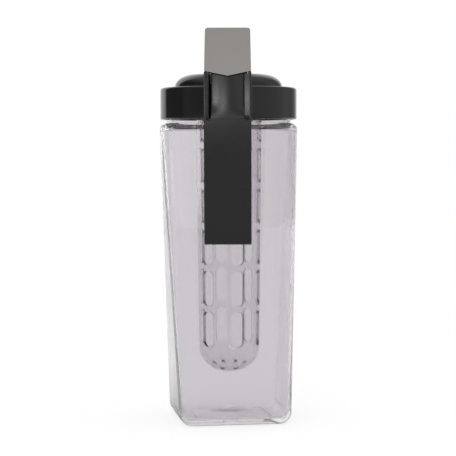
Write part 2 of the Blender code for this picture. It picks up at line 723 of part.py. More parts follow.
def cover_profile():
    """A dished shell with a rib under its crown that carries the seal."""
    crown = COVER_RADIUS - COVER_ROUND
    outer = arc((crown, COVER_FOOT), COVER_ROUND, math.pi / 2, 0, rise=COVER_RISE)
    inner = arc((crown, COVER_FOOT), COVER_ROUND - COVER_WALL, 0, math.pi / 2, rise=COVER_RISE - COVER_WALL)
    middle = POUR_RADIUS + COLLAR_WALL / 2
    rib_foot = COLLAR_TOP + COVER_SEAL_HEIGHT + 2 * CLEARANCE
    rib_outer = middle + COVER_RIB_WALL / 2
    rib_inner = middle - COVER_RIB_WALL / 2
    before = [point for point in inner if point[0] > rib_outer]
    after = [point for point in inner if point[0] < rib_inner]
    return [(0, outer[0][1]), *outer, *before, (rib_outer, inner_height(rib_outer)), (rib_outer, rib_foot),
            (rib_inner, rib_foot), (rib_inner, inner_height(rib_inner)), *after, (0, inner[-1][1])]


def inner_height(radius):
    """Height of the cover's inner face at a radius."""
    crown = COVER_RADIUS - COVER_ROUND
    share = (radius - crown) / (COVER_ROUND - COVER_WALL)
    return COVER_FOOT + (COVER_RISE - COVER_WALL) * math.sqrt(1 - share ** 2)


def add_flip_cover():
    cover = add_turned("flip_cover", cover_profile(), BLACK, COVER_AXIS)
    tongue_low = COLLAR_TOP + CLEARANCE
    half = TONGUE_WIDTH / 2
    arch = box_outline((-half, COVER_RADIUS - ARCH_DEPTH), (half, COVER_RADIUS + OVERRUN))
    cut(cover, slab("arch", arch, PLAN, LID_TOP - OVERRUN, tongue_low), "arch")
    tongue_root = COVER_RADIUS - TONGUE_ROOT_DEPTH
    tip = TONGUE_WIDTH / 2 - (BEAK_ROOT_WIDTH - BEAK_TIP_WIDTH) / 2
    outline = [(-half, tongue_root), (half, tongue_root), (tip, TONGUE_REACH), (-tip, TONGUE_REACH)]
    join(cover, slab("tongue", outline, PLAN, tongue_low, tongue_low + TONGUE_THICKNESS), "tongue")
    hinge_low = -EAR_INNER + CLEARANCE
    arm_end = (-COVER_RADIUS + COVER_WALL, COVER_HINGE[1] - KNUCKLE_RADIUS / 2)
    join(cover, slab("knuckle", tapered_link(COVER_HINGE, KNUCKLE_RADIUS, arm_end, KNUCKLE_RADIUS / 2),
                     SIDE, hinge_low, KNUCKLE_END), "knuckle")
    tail_round = TAIL_THICKNESS / 2
    tail_height = COVER_HINGE[1] + TAIL_LIFT - tail_round
    tail_tip = (COVER_HINGE[0] - TAIL_LENGTH + tail_round, tail_height)
    tail = tapered_link((COVER_HINGE[0], tail_height), tail_round, tail_tip, tail_round)
    tail_low = (hinge_low + KNUCKLE_END - TAIL_WIDTH) / 2
    join(cover, slab("tail", tail, SIDE, tail_low, tail_low + TAIL_WIDTH), "tail")
    reach = EAR_INNER + EAR_THICKNESS
    cut(cover, rod("pin_hole", COVER_PIN_RADIUS + CLEARANCE, SIDE, COVER_HINGE, -reach, reach), "pin_hole")


def add_pins():
    reach = EAR_INNER + EAR_THICKNESS - CLEARANCE
    add_piece("cover_pin", rod("cover_pin", COVER_PIN_RADIUS, SIDE, COVER_HINGE, -reach, reach), STEEL)
    reach = GRIP_WIDTH / 2 - CLEARANCE
    add_piece("lever_pin", rod("lever_pin", LEVER_PIN_RADIUS, SIDE, LEVER_PIN, -reach, reach), STEEL)


def bow_point(height, depth=0.0):
    """A point of the bow in side view, at a depth behind its front face."""
    radius = BOW_RADIUS - depth
    return (BOW_RADIUS - HANDLE_REACH - math.sqrt(radius ** 2 - (height - BOW_HEIGHT) ** 2), height)


def bow_line(start, end, depth, steps=BOW_STEPS):
    return [bow_point(start + (end - start) * step / steps, depth) for step in range(steps + 1)]


def bow_band(low, high, front, back, steps=BOW_STEPS):
    """The side outline of a strip between two depths of the bow."""
    return bow_line(low, high, front, steps) + bow_line(high, low, back, steps)


def grip_outline():
    """Side view of the handle: strap, bridge to the lid and the cheeks beside the lever."""
    foot = GRIP_FOOT_HEIGHT + GRIP_FOOT_ROUND
    front_foot = bow_point(foot)[0] + GRIP_FOOT_ROUND
    back_foot = bow_point(foot, GRIP_THICKNESS)[0] - GRIP_FOOT_ROUND
    palm_height = BRIDGE_HEIGHT - GRIP_PALM_ROUND
    palm = (bow_point(palm_height, GRIP_THICKNESS)[0] + GRIP_PALM_ROUND, palm_height)
    cheek = (-CHEEK_REACH, CHEEK_TOP - CHEEK_ROUND)
    lid_side = -LID_RADIUS + LID_EDGE
    nose_height = CHEEK_TOP - CHEEK_NOSE
    nose = (bow_point(nose_height)[0] + CHEEK_NOSE, nose_height)
    return [*bow_line(foot, nose_height, 0), *arc(nose, CHEEK_NOSE, math.pi, math.pi / 2, 4)[1:],
            *arc(cheek, CHEEK_ROUND, math.pi / 2, CHEEK_TURN),
            (lid_side, LID_TOP - CHEEK_LOW_DROP), (lid_side, BRIDGE_HEIGHT),
            *arc(palm, GRIP_PALM_ROUND, math.pi / 2, math.pi),
            *bow_line(palm_height, foot, GRIP_THICKNESS)[1:-1],
            *arc((back_foot, foot), GRIP_FOOT_ROUND, 0, -math.pi / 2, 4),
            *arc((front_foot, foot), GRIP_FOOT_ROUND, -math.pi / 2, -math.pi, 4)[:-1]]


def boss_end(height):
    """Depth where a boss stops, clear of the inner cover that leans across its end."""
    lean = GRIP_BOSS_RADIUS * abs(height - BOW_HEIGHT) / (BOW_RADIUS - GRIP_THICKNESS)
    return GRIP_THICKNESS - GRIP_INNER_THICKNESS - CLEARANCE - lean


def grip_boss(height, radius, front, back):
    """A short rod along Y that starts and ends at depths of the bow."""
    start = bow_point(height, front)[0]
    end = bow_point(height, back)[0]
    return rod("boss", radius, FRONT, (0, height), -end, -start, 12)


def add_handle_grip():
    half = GRIP_WIDTH / 2
    grip = add_piece("handle_grip", slab("handle_grip", grip_outline(), SIDE, -half, half), BLACK)
    round_edges(grip, GRIP_EDGE)
    lid_clear = LID_RADIUS + CLEARANCE
    cut(grip, rod("lid_side", lid_clear, PLAN, (0, 0), BRIDGE_HEIGHT - OVERRUN, CHEEK_TOP, ROUND_STEPS),
        "lid_side")
    channel_half = half - CHEEK_THICKNESS
    front = -HANDLE_REACH - OVERRUN
    top = CHEEK_TOP + OVERRUN
    back = -LID_RADIUS + LID_EDGE + OVERRUN
    channel = [(front, CHANNEL_FOOT), bow_point(CHANNEL_FOOT, CHANNEL_DEPTH),
               (bow_point(BRIDGE_TOP, CHANNEL_DEPTH)[0], BRIDGE_TOP), (back, BRIDGE_TOP), (back, top),
               (front, top)]
    cut(grip, slab("channel", channel, SIDE, -channel_half, channel_half), "channel")
    pocket_half = half - GRIP_WALL
    pocket = bow_band(POCKET_FOOT, POCKET_HEAD, GRIP_WALL, GRIP_THICKNESS + OVERRUN)
    bosses = [grip_boss(height, GRIP_BOSS_RADIUS, GRIP_WALL / 2, boss_end(height))
              for height in GRIP_SCREW_HEIGHTS]
    hollow = difference_mesh("hollow", slab("pocket", pocket, SIDE, -pocket_half, pocket_half),
                             merged("bosses", bosses))
    cut(grip, hollow, "pocket")
    holes = [grip_boss(height, GRIP_SCREW_RADIUS + CLEARANCE, GRIP_WALL, GRIP_THICKNESS)
             for height in GRIP_SCREW_HEIGHTS]
    cut(grip, merged("boss_holes", holes), "boss_holes")
    cut(grip, screw_holes(SCREW_RADIUS + CLEARANCE, BRIDGE_HEIGHT - OVERRUN, BRIDGE_TOP + OVERRUN),
        "screw_holes")
    sink_top = BRIDGE_HEIGHT + SCREW_SINK + SCREW_HEAD_HEIGHT + CLEARANCE
    cut(grip, screw_holes(SCREW_HEAD_RADIUS + CLEARANCE, BRIDGE_HEIGHT - OVERRUN, sink_top), "head_holes")
    cut(grip, rod("pin_hole", LEVER_PIN_RADIUS + CLEARANCE, SIDE, LEVER_PIN, -half - OVERRUN, half + OVERRUN),
        "pin_hole")


def add_grip_inner():
    """The cover that closes the strap on the fingers' side."""
    half = GRIP_WIDTH / 2 - GRIP_WALL - CLEARANCE
    front = GRIP_THICKNESS - GRIP_INNER_THICKNESS
    band = bow_band(POCKET_FOOT + CLEARANCE, POCKET_HEAD - CLEARANCE, front, GRIP_THICKNESS)
    inner = add_piece("grip_inner", slab("grip_inner", band, SIDE, -half, half), BLACK)
    for index, height in enumerate(GRIP_SCREW_HEIGHTS):
        cut(inner, grip_boss(height, GRIP_SCREW_RADIUS + CLEARANCE, front - OVERRUN, GRIP_THICKNESS),
            f"hole_{index}")
        sink = GRIP_THICKNESS - GRIP_SCREW_HEAD_HEIGHT - CLEARANCE
        cut(inner, grip_boss(height, GRIP_SCREW_HEAD_RADIUS + CLEARANCE, sink, GRIP_THICKNESS + OVERRUN),
            f"sink_{index}")


def screw_mesh(radius, head_radius, head_height, length):
    """A pan head screw along +Z, with the outside of its head at the origin."""
    profile = [(0, length), (radius, length), (radius, head_height), (head_radius, head_height),
               (head_radius, head_height / 2), (head_radius - head_height / 2, 0), (0, 0)]
    bm = bmesh.new()
    points = [bm.verts.new((across, 0, height)) for across, height in profile]
    edges = [bm.edges.new(pair) for pair in zip(points, points[1:])]
    bmesh.ops.spin(bm, geom=points + edges, cent=(0, 0, 0), axis=(0, 0, 1), angle=math.tau,
                   steps=SMALL_STEPS, use_merge=True)
    bmesh.ops.remove_doubles(bm, verts=bm.verts, dist=MERGE)
    bmesh.ops.recalc_face_normals(bm, faces=bm.faces)
    mesh = bpy.data.meshes.new("screw")
    bm.to_mesh(mesh)
    bm.free()
    return mesh


def add_screws():
    """Two screws up into the lid's bracket, and two through the grip's inner cover."""
    bracket_top = BRIDGE_TOP + BRACKET_THICKNESS
    start = BRIDGE_HEIGHT + SCREW_SINK
    screw = screw_mesh(SCREW_RADIUS, SCREW_HEAD_RADIUS, SCREW_HEAD_HEIGHT, bracket_top - start - CLEARANCE)
    for place, side in zip(screw_places(), ("left", "right")):
        piece = add_piece(f"handle_screw_{side}", screw, STEEL)
        piece.location = (*place, start)
    small = screw_mesh(GRIP_SCREW_RADIUS, GRIP_SCREW_HEAD_RADIUS, GRIP_SCREW_HEAD_HEIGHT, GRIP_SCREW_LENGTH)
    for height, side in zip(GRIP_SCREW_HEIGHTS, ("lower", "upper")):
        piece = add_piece(f"grip_screw_{side}", small, STEEL)
        piece.location = (0, *bow_point(height, GRIP_THICKNESS))
        piece.rotation_euler = (math.pi / 2, 0, 0)


def chevron_outline(half, top, side_foot, drop, corner):
    """Front view of the pad: rounded upper corners and a blunt point below."""
    left = arc((-half + corner, top - corner), corner, math.pi / 2, math.pi, 4)
    right = arc((half - corner, top - corner), corner, 0, math.pi / 2, 4)
    return [*left, (-half, side_foot), (0, side_foot - drop), (half, side_foot), *right]


def add_thumb_lever():
    """The lever's panel, hub and arm, and the paddle that carries the pad."""
    half = LEVER_WIDTH / 2
    panel_foot = CHANNEL_FOOT + 2 * CLEARANCE
    panel = bow_band(panel_foot, PADDLE_FOOT + PADDLE_MARGIN, 0, LEVER_THICKNESS, LEVER_STEPS)
    lever = add_piece("thumb_lever", slab("thumb_lever", panel, SIDE, -half, half), BLACK, LEVER_AXIS)
    round_edges(lever, GRIP_EDGE)
    stem = bow_point(LEVER_PIN_HEIGHT, LEVER_THICKNESS - LEVER_STEM_RADIUS)
    hub = tapered_link(LEVER_PIN, LEVER_HUB_RADIUS, stem, LEVER_STEM_RADIUS)
    join(lever, slab("hub", hub, SIDE, -half + GRIP_EDGE, LEVER_HUB_END), "hub")
    nose = (COVER_HINGE[0] - TAIL_LENGTH - LEVER_NOSE_OVERHANG,
            COVER_HINGE[1] + TAIL_LIFT + CLEARANCE + LEVER_NOSE_RADIUS)
    arm_root = LEVER_HUB_RADIUS * LEVER_ARM_ROOT_SHARE
    arm = tapered_link(LEVER_PIN, arm_root, nose, LEVER_NOSE_RADIUS)
    arm_middle = (KNUCKLE_END - EAR_INNER + CLEARANCE) / 2
    join(lever, slab("arm", arm, SIDE, arm_middle - LEVER_ARM_WIDTH / 2, arm_middle + LEVER_ARM_WIDTH / 2),
         "arm")
    paddle_half = PAD_WIDTH / 2 - PADDLE_MARGIN
    relief = chevron_outline(PAD_WIDTH, PAD_TOP, PAD_SIDE_FOOT + PAD_POINT_DROP - PAD_GAP,
                             2 * PAD_POINT_DROP, PAD_CORNER)
    step = slab("step", relief, FRONT, HANDLE_REACH / 2, HANDLE_REACH + OVERRUN)
    keep = slab("keep", bow_band(CHANNEL_FOOT, PAD_TOP + OVERRUN, PADDLE_SETBACK, HANDLE_REACH / 2), SIDE,
                -PAD_WIDTH * 2, PAD_WIDTH * 2)
    cut(lever, difference_mesh("relief", step, keep), "relief")
    paddle_top = PAD_TOP - PADDLE_MARGIN
    paddle = bow_band(PADDLE_FOOT, paddle_top, PADDLE_SETBACK, PADDLE_SETBACK + PADDLE_THICKNESS, LEVER_STEPS)
    join(lever, slab("paddle", paddle, SIDE, -paddle_half, paddle_half), "paddle")
    cut(lever, rod("pin_hole", LEVER_PIN_RADIUS + CLEARANCE, SIDE, LEVER_PIN, -half - OVERRUN, half + OVERRUN),
        "pin_hole")


def difference_mesh(name, first, second):
    """The first shape less the second, as a plain mesh."""
    base = bpy.data.objects.new(name, first)
    CUTTERS.objects.link(base)
    tool = bpy.data.objects.new(f"{name}_tool", second)
    CUTTERS.objects.link(tool)
    modifier = base.modifiers.new("Less", "BOOLEAN")
    modifier.operation = "DIFFERENCE"
    modifier.solver = "EXACT"
    modifier.object = tool
    bpy.context.view_layer.update()
    graph = bpy.context.evaluated_depsgraph_get()
    mesh = bpy.data.meshes.new_from_object(base.evaluated_get(graph))
    bpy.data.objects.remove(base, do_unlink=True)
    bpy.data.objects.remove(tool, do_unlink=True)
    return mesh


def add_thumb_pad():
    """The grey cap that slides down over the lever's paddle."""
    half = PAD_WIDTH / 2
    body = bow_band(PAD_SIDE_FOOT - PAD_POINT_DROP - OVERRUN, PAD_TOP + OVERRUN, -PAD_PROUD, PAD_DEPTH,
                    LEVER_STEPS)
    pad = add_piece("thumb_pad", slab("thumb_pad", body, SIDE, -half - OVERRUN, half + OVERRUN), GREY,
                    LEVER_AXIS)
    outline = chevron_outline(half, PAD_TOP, PAD_SIDE_FOOT, PAD_POINT_DROP, PAD_CORNER)
    combine(pad, slab("face", outline, FRONT, HANDLE_REACH / 2, HANDLE_REACH + OVERRUN), "face", "INTERSECT")
    round_edges(pad, PAD_EDGE)
    pocket_half = half - PADDLE_MARGIN + CLEARANCE
    pocket_foot = PAD_SIDE_FOOT - PAD_POINT_DROP - 2 * OVERRUN
    pocket = bow_band(pocket_foot, PAD_TOP - PADDLE_MARGIN + CLEARANCE, PADDLE_SETBACK - CLEARANCE,
                      PAD_DEPTH + OVERRUN, LEVER_STEPS)
    cut(pad, slab("pocket", pocket, SIDE, -pocket_half, pocket_half), "pocket")


def torsion_spring(name, centre, start, radius, turns, leg, finish):
    """A coil along X: a straight leg down, the turns, and a short stub at the far end."""
    points = [(start, centre[0] + radius, centre[1] - leg)]
    steps = turns * SPRING_POINTS
    for step in range(steps + 1):
        turn = math.tau * step / SPRING_POINTS
        points.append((start - SPRING_PITCH * step / SPRING_POINTS,
                       centre[0] + radius * math.cos(turn), centre[1] + radius * math.sin(turn)))
    points.append((points[-1][0] - SPRING_STUB, points[-1][1], points[-1][2]))
    curve = bpy.data.curves.new(name, "CURVE")
    curve.dimensions = "3D"
    curve.bevel_depth = SPRING_WIRE_RADIUS
    curve.bevel_resolution = 1
    curve.use_fill_caps = True
    spline = curve.splines.new("POLY")
    spline.points.add(len(points) - 1)
    for point, place in zip(spline.points, points):
        point.co = (*place, 1)
    mesh = baked_mesh(bpy.data.objects.new(name, curve), Matrix.Identity(4))
    add_piece(name, mesh, finish)
    print(f"{name}: least gap between turns {least_gap(points) * 1000:.2f} mm")


def least_gap(points):
    """Smallest free space between points at least half a turn apart along the wire."""
    apart = SPRING_POINTS // 2 + 1
    gaps = []
    for index, first in enumerate(points):
        for second in points[index + apart:]:
            gaps.append((Vector(first) - Vector(second)).length - 2 * SPRING_WIRE_RADIUS)
    return min(gaps)


def add_springs():
    torsion_spring("lever_spring", LEVER_PIN, LEVER_SPRING_START, LEVER_SPRING_RADIUS,
                   LEVER_SPRING_TURNS, LEVER_SPRING_LEG, STEEL)
    torsion_spring("cover_spring", COVER_HINGE, COVER_SPRING_START, COVER_SPRING_RADIUS,
                   COVER_SPRING_TURNS, COVER_SPRING_LEG, STEEL)


def build():
    add_jug_body()
    add_seals()
    add_lid_shell()
    add_strainer()
    add_infuser_tube()
    add_flip_cover()
    add_pins()
    add_handle_grip()
    add_grip_inner()
    add_screws()
    add_thumb_lever()
    add_thumb_pad()
    add_springs()


build()
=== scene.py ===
# %% [markdown]
# # A clear jug with a hanging infuser
#
# The jug in this lesson has a screw lid, a flip cover that a thumb lever on the handle opens, and a
# slotted tube that hangs in the drink. Its construction is already modelled: every sub-part is a plain
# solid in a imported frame. Here each one gets its fine surface and its finish, in the same place.

# %% Load the frame
import math

import bmesh
import bpy
from mathutils import Matrix, Vector


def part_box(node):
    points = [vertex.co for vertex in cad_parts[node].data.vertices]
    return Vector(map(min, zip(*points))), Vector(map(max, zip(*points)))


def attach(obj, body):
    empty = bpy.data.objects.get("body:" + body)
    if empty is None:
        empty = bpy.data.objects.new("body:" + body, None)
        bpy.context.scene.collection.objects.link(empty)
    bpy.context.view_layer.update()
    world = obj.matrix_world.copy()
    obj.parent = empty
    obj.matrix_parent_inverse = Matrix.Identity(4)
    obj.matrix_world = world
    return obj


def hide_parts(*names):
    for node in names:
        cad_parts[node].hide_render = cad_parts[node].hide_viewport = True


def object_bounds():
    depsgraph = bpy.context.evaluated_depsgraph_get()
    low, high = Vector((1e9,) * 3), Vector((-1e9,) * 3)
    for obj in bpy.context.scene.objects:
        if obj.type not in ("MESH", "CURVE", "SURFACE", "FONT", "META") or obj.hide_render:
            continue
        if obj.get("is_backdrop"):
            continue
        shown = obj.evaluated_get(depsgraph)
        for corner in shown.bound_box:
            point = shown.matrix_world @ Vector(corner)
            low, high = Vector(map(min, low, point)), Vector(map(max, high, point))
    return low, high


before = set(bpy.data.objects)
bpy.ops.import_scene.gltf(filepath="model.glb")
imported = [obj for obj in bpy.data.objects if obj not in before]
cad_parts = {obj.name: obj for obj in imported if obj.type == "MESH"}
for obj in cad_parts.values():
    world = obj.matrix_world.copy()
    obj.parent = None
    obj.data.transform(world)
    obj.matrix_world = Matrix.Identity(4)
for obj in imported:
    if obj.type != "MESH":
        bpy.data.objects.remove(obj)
CAD_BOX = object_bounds()


def middle(node):
    low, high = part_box(node)
    return (low + high) / 2


def add_object(name, data):
    made = bpy.data.objects.new(name, data)
    bpy.context.scene.collection.objects.link(made)
    return made


def as_mesh(name, bm):
    """The mesh of a bmesh, which is used up."""
    mesh = bpy.data.meshes.new(name)
    bm.to_mesh(mesh)
    bm.free()
    return mesh


AXIS_Y = middle("lid_seal").y
LID_LOW, LID_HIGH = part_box("lid_shell")
print(f"the jug's own axis stands {AXIS_Y * 1000:.2f} mm behind the middle of the whole")

# %% [markdown]
# ## Seeing it as the photograph does
#
# A long lens more than a metre away keeps the jug's sides nearly parallel. The camera looks along +Y at the
# handle from a little below the lid, so the lid's far foot shows under its near one and the floor of the
# jug shows as a narrow band. It was held by hand, so it stands a little to one side and not quite level.

# %% Camera
CAMERA_DISTANCE = 1.18
CAMERA_HEIGHT = 0.1972
CAMERA_SIDE = 0.0088
CAMERA_PITCH = math.radians(2.74)
CAMERA_ROLL = math.radians(0.15)
CAMERA_TURN = math.radians(0.45)
SENSOR = 36.0
LENS = 126.6

camera = add_object("camera", bpy.data.cameras.new("camera"))
camera.data.sensor_width = SENSOR
camera.data.lens = LENS
camera.data.clip_start = 0.05
camera.location = (CAMERA_SIDE, AXIS_Y - CAMERA_DISTANCE, CAMERA_HEIGHT)
camera.rotation_euler = (math.pi / 2 - CAMERA_PITCH, CAMERA_ROLL, CAMERA_TURN)
bpy.context.scene.camera = camera
bpy.context.scene.view_settings.view_transform = "Standard"

# %% [markdown]
# ## Shader maths as sums
#
# A finish is a small tree of nodes. Written as Python sums it reads like the recipe that it is: Signal
# wraps one output socket and adds a Math node for each operator, and Finish adds any other node.

# %% Signal and Finish
def feed(tree, socket, value):
    if isinstance(value, Signal):
        tree.links.new(value.socket, socket)
    else:
        socket.default_value = value


class Signal:
    """An output socket that can take part in a sum."""

    def __init__(self, tree, socket):
        self.tree = tree
        self.socket = socket

    def maths(self, operation, first, second):
        node = self.tree.nodes.new("ShaderNodeMath")
        node.operation = operation
        feed(self.tree, node.inputs[0], first)
        feed(self.tree, node.inputs[1], second)
        return Signal(self.tree, node.outputs[0])

    def __add__(self, other):
        return self.maths("ADD", self, other)

    def __sub__(self, other):
        return self.maths("SUBTRACT", self, other)

    def __rsub__(self, other):
        return self.maths("SUBTRACT", other, self)

    def __mul__(self, other):
        return self.maths("MULTIPLY", self, other)

    def __truediv__(self, other):
        return self.maths("DIVIDE", self, other)

    __radd__ = __add__
    __rmul__ = __mul__


class Finish:
    """A node tree to which one method adds every kind of node."""

    def __init__(self, owner):
        owner.use_nodes = True
        self.owner = owner
        self.tree = owner.node_tree
        self.tree.nodes.clear()

    def node(self, kind, settings=None, inputs=None, output=0):
        made = self.tree.nodes.new("ShaderNode" + kind)
        for name, value in (settings or {}).items():
            if name == "stops":
                self.set_stops(made.color_ramp, value)
            else:
                setattr(made, name, value)
        for name, value in (inputs or {}).items():
            feed(self.tree, made.inputs[name], value)
        return Signal(self.tree, made.outputs[output]) if made.outputs else None

    @staticmethod
    def set_stops(ramp, stops):
        while len(ramp.elements) < len(stops):
            ramp.elements.new(0.5)
        for element, (place, level) in zip(ramp.elements, stops):
            element.position = place
            element.color = (level, level, level, 1)


# %% [markdown]
# ## A plain studio
#
# Black gloss shows the room more than itself, so the room is worth some care. The world is white to the
# camera and behind the jug, mid grey on its right and dark on its left, as the bands on the lid say. Light
# that has passed through clear plastic sees a paler room, because the jug's edges are grey and never black.
# What lights dull surfaces is one even level, at which a colour renders about as it is written.

# %% World
AMBIENT = 0.81
STUDIO_TURNS = [(-180, 1.0), (-133, 1.0), (-130, 0.04), (-84, 0.04), (-78, 0.16), (-42, 0.16), (-12, 0.31),
                (8, 0.36), (20, 0.85), (34, 0.85), (44, 0.54), (112, 0.54), (128, 0.30), (146, 0.32),
                (160, 1.0), (180, 1.0)]
CLEAR_TURNS = [(-180, 0.92), (-177, 0.97), (-172, 1.0), (-162, 1.3), (-100, 1.3), (-60, 0.9), (-20, 0.7),
               (85, 0.66), (125, 0.7), (168, 0.74), (177, 0.82), (180, 0.92)]
SKY_START = 0.5
SKY_END = 0.95
SKY_LEVEL = 0.62

world = bpy.data.worlds.new("studio")
bpy.context.scene.world = world
studio = Finish(world)
heading = studio.node("TexCoord", output="Generated")
across, along, height = (studio.node("SeparateXYZ", inputs={"Vector": heading}, output=axis)
                         for axis in "XYZ")
turn = studio.node("Math", {"operation": "ARCTAN2"}, {0: across, 1: along * -1.0})
sky = studio.node("MapRange", {"interpolation_type": "SMOOTHSTEP"},
                  {"Value": height, "From Min": SKY_START, "From Max": SKY_END, "To Min": 0.0, "To Max": 1.0})


def rays(finish):
    """Masks for mirrored rays and for rays through clear plastic, which Blender calls glossy too."""
    glossy = finish.node("LightPath", output="Is Glossy Ray")
    through = finish.node("LightPath", output="Is Transmission Ray")
    return glossy * (1.0 - through), through


def room(turns):
    """Walls whose level changes with the heading, under a pale ceiling."""
    stops = [(degrees / 360 + 0.5, level) for degrees, level in turns]
    walls = studio.node("ValToRGB", {"stops": stops}, {"Fac": turn / math.tau + 0.5})
    return walls * (1.0 - sky) + sky * SKY_LEVEL


seen = studio.node("LightPath", output="Is Camera Ray")
mirrored, through = rays(studio)
level = mirrored * room(STUDIO_TURNS) + through * room(CLEAR_TURNS) + (1.0 - mirrored - through) * AMBIENT
level = seen + (1.0 - seen) * level
background = studio.node("Background", inputs={"Color": (1, 1, 1, 1), "Strength": level})
studio.node("OutputWorld", inputs={"Surface": background})

# %% [markdown]
# ## The floor and the lights
#
# The floor is a pale sheet. It gives off part of its own white, so it stays white in the picture and still
# keeps a soft shadow round the jug's foot. In front of the jug it is dimmer in gloss, so the strap stays
# black. A key light from the left and a weaker fill beside it make the soft spots on the lever's panel.

# %% Floor and lights
FLOOR_HALF = 3.0
FLOOR_DROP = 0.0002
FLOOR_GLOW = 1.18
FLOOR_IN_GLOSS = 0.22
FLOOR_IN_CLEAR = 1.02
FLOOR_SHARE = 0.62
FLOOR_CHANGE = 0.3
LIGHT_DISTANCE = 1.3
LIGHTS = {"key": (-25, 15, 1.55, (0.26, 0.12)), "fill": (-9, 14, 1.0, (0.22, 0.12))}

bm = bmesh.new()
bmesh.ops.create_grid(bm, x_segments=1, y_segments=1, size=FLOOR_HALF)
bmesh.ops.translate(bm, verts=bm.verts, vec=(0, 0, -FLOOR_DROP))
floor = add_object("floor", as_mesh("floor", bm))
floor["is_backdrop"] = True

finish = Finish(bpy.data.materials.new("pale_floor"))
dull = finish.node("BsdfDiffuse", inputs={"Color": (0.9, 0.9, 0.9, 1)})
mirrored, through = rays(finish)
depth = finish.node("SeparateXYZ", inputs={"Vector": finish.node("TexCoord", output="Object")}, output="Y")
behind = finish.node("MapRange", inputs={"Value": depth, "From Min": 0.0, "From Max": FLOOR_CHANGE,
                                         "To Min": 0.0, "To Max": 1.0})
in_gloss = FLOOR_IN_GLOSS + behind * (FLOOR_GLOW - FLOOR_IN_GLOSS)
strength = FLOOR_GLOW * (1.0 - mirrored - through) + mirrored * in_gloss + through * FLOOR_IN_CLEAR
glow = finish.node("Emission", inputs={"Color": (1, 1, 1, 1), "Strength": strength})
blend = finish.node("MixShader", inputs={0: FLOOR_SHARE, 1: dull, 2: glow})
finish.node("OutputMaterial", inputs={"Surface": blend})
floor.data.materials.append(finish.owner)

for name, (azimuth, rise, power, size) in LIGHTS.items():
    light = add_object(name, bpy.data.lights.new(name, "AREA"))
    light.data.shape = "RECTANGLE"
    light.data.size, light.data.size_y = size
    light.data.energy = power
    azimuth = math.radians(azimuth)
    toward = Vector((math.sin(azimuth), -math.cos(azimuth), math.tan(math.radians(rise)))).normalized()
    light.location = middle("lid_shell") + toward * LIGHT_DISTANCE
    light.rotation_euler = toward.to_track_quat("Z", "Y").to_euler()

# %% [markdown]
# ## Moulded plastics
#
# The black parts come from a polished mould: near black, glossy on the lid and the cover, duller on the
# strap, where hands have worn the polish. A fine grain bends the reflections a little and a slow mottle
# moves the gloss, so that no surface is one flat value.

# %% Steps that finishes share
def new_finish(name):
    """An empty finish and the place on the object that its patterns follow."""
    finish = Finish(bpy.data.materials.new(name))
    return finish, finish.node("TexCoord", output="Object")


def noise(finish, place, scale, detail):
    return finish.node("TexNoise", inputs={"Vector": place, "Scale": scale, "Detail": detail}, output="Fac")


def blended(finish, share, dark, light):
    return finish.node("Mix", {"data_type": "RGBA"}, {0: share, 6: (*dark, 1), 7: (*light, 1)}, output=2)


def bumps(finish, height, depth):
    return finish.node("Bump", inputs={"Strength": 1.0, "Distance": depth, "Height": height})


def surface(finish, sockets, volume=None):
    """Ends a finish in one Principled shader, and a volume if it has one."""
    ends = {"Surface": finish.node("BsdfPrincipled", inputs=sockets)}
    if volume:
        ends["Volume"] = volume
    finish.node("OutputMaterial", inputs=ends)
    return finish.owner


# %% Moulded finish
MOTTLE_SCALE = 55.0


def moulded(name, dark, light, roughness, uneven, grain_depth, grain_scale):
    """An opaque moulding between two close colours."""
    finish, place = new_finish(name)
    slow = noise(finish, place, MOTTLE_SCALE, 4.0)
    fine = noise(finish, place, grain_scale, 3.0)
    return surface(finish, {"Base Color": blended(finish, slow, dark, light),
                            "Normal": bumps(finish, fine, grain_depth),
                            "Roughness": roughness + (slow - 0.5) * uneven})


POLISHED_BLACK = moulded("polished_black", (0.0085, 0.0085, 0.0088), (0.0115, 0.0115, 0.012),
                         roughness=0.11, uneven=0.10, grain_depth=0.0000015, grain_scale=1500.0)
SATIN_BLACK = moulded("satin_black", (0.0064, 0.0062, 0.0074), (0.0088, 0.0086, 0.0100),
                      roughness=0.28, uneven=0.12, grain_depth=0.000004, grain_scale=2200.0)
WARM_GREY = moulded("warm_grey", (0.240, 0.225, 0.213), (0.266, 0.249, 0.237),
                    roughness=0.48, uneven=0.10, grain_depth=0.000012, grain_scale=2600.0)

# %% [markdown]
# ## Clear plastic
#
# Glass and clear plastic are the same shader: light passes, bends and is slowly used up on its way. The
# jug's faint smoky tint is in its skin and hardly any in the volume. In a real jug the light that runs along
# inside a wall comes out of its edges pale. Here it would get lost on that long way, so light bends less
# than in real plastic and each skin lets a share of it straight through.

# %% Clear finish
SMOKE = (0.50, 0.48, 0.52)
POLISH = 0.01
WAVE_SCALE = 28.0


def clear(name, bending, alpha, wave_depth, skin, keeps):
    """A clear plastic whose volume keeps a share of the light over one millimetre."""
    finish, place = new_finish(name)
    ripple = bumps(finish, noise(finish, place, WAVE_SCALE, 2.0), wave_depth)
    density = -math.log(keeps) * 1000 / (1 - sum(SMOKE) / 3)
    smoke = finish.node("VolumeAbsorption", inputs={"Color": (*SMOKE, 1), "Density": density})
    return surface(finish, {"Base Color": (*skin, 1), "Roughness": POLISH, "IOR": bending, "Alpha": alpha,
                            "Transmission Weight": 1.0, "Normal": ripple}, smoke)


CLEAR_BODY = clear("clear_body", bending=1.14, alpha=0.88, wave_depth=0.00001, skin=(0.792, 0.768, 0.792),
                   keeps=0.998)
CLEAR_TUBE = clear("clear_tube", bending=1.46, alpha=1.0, wave_depth=0.000006, skin=(0.99, 0.975, 0.99),
                   keeps=0.955)

# %% [markdown]
# ## Rubber and steel
#
# The seals are milky silicone. The pins, screws and springs are drawn or turned steel, so their polish
# runs in fine lines.

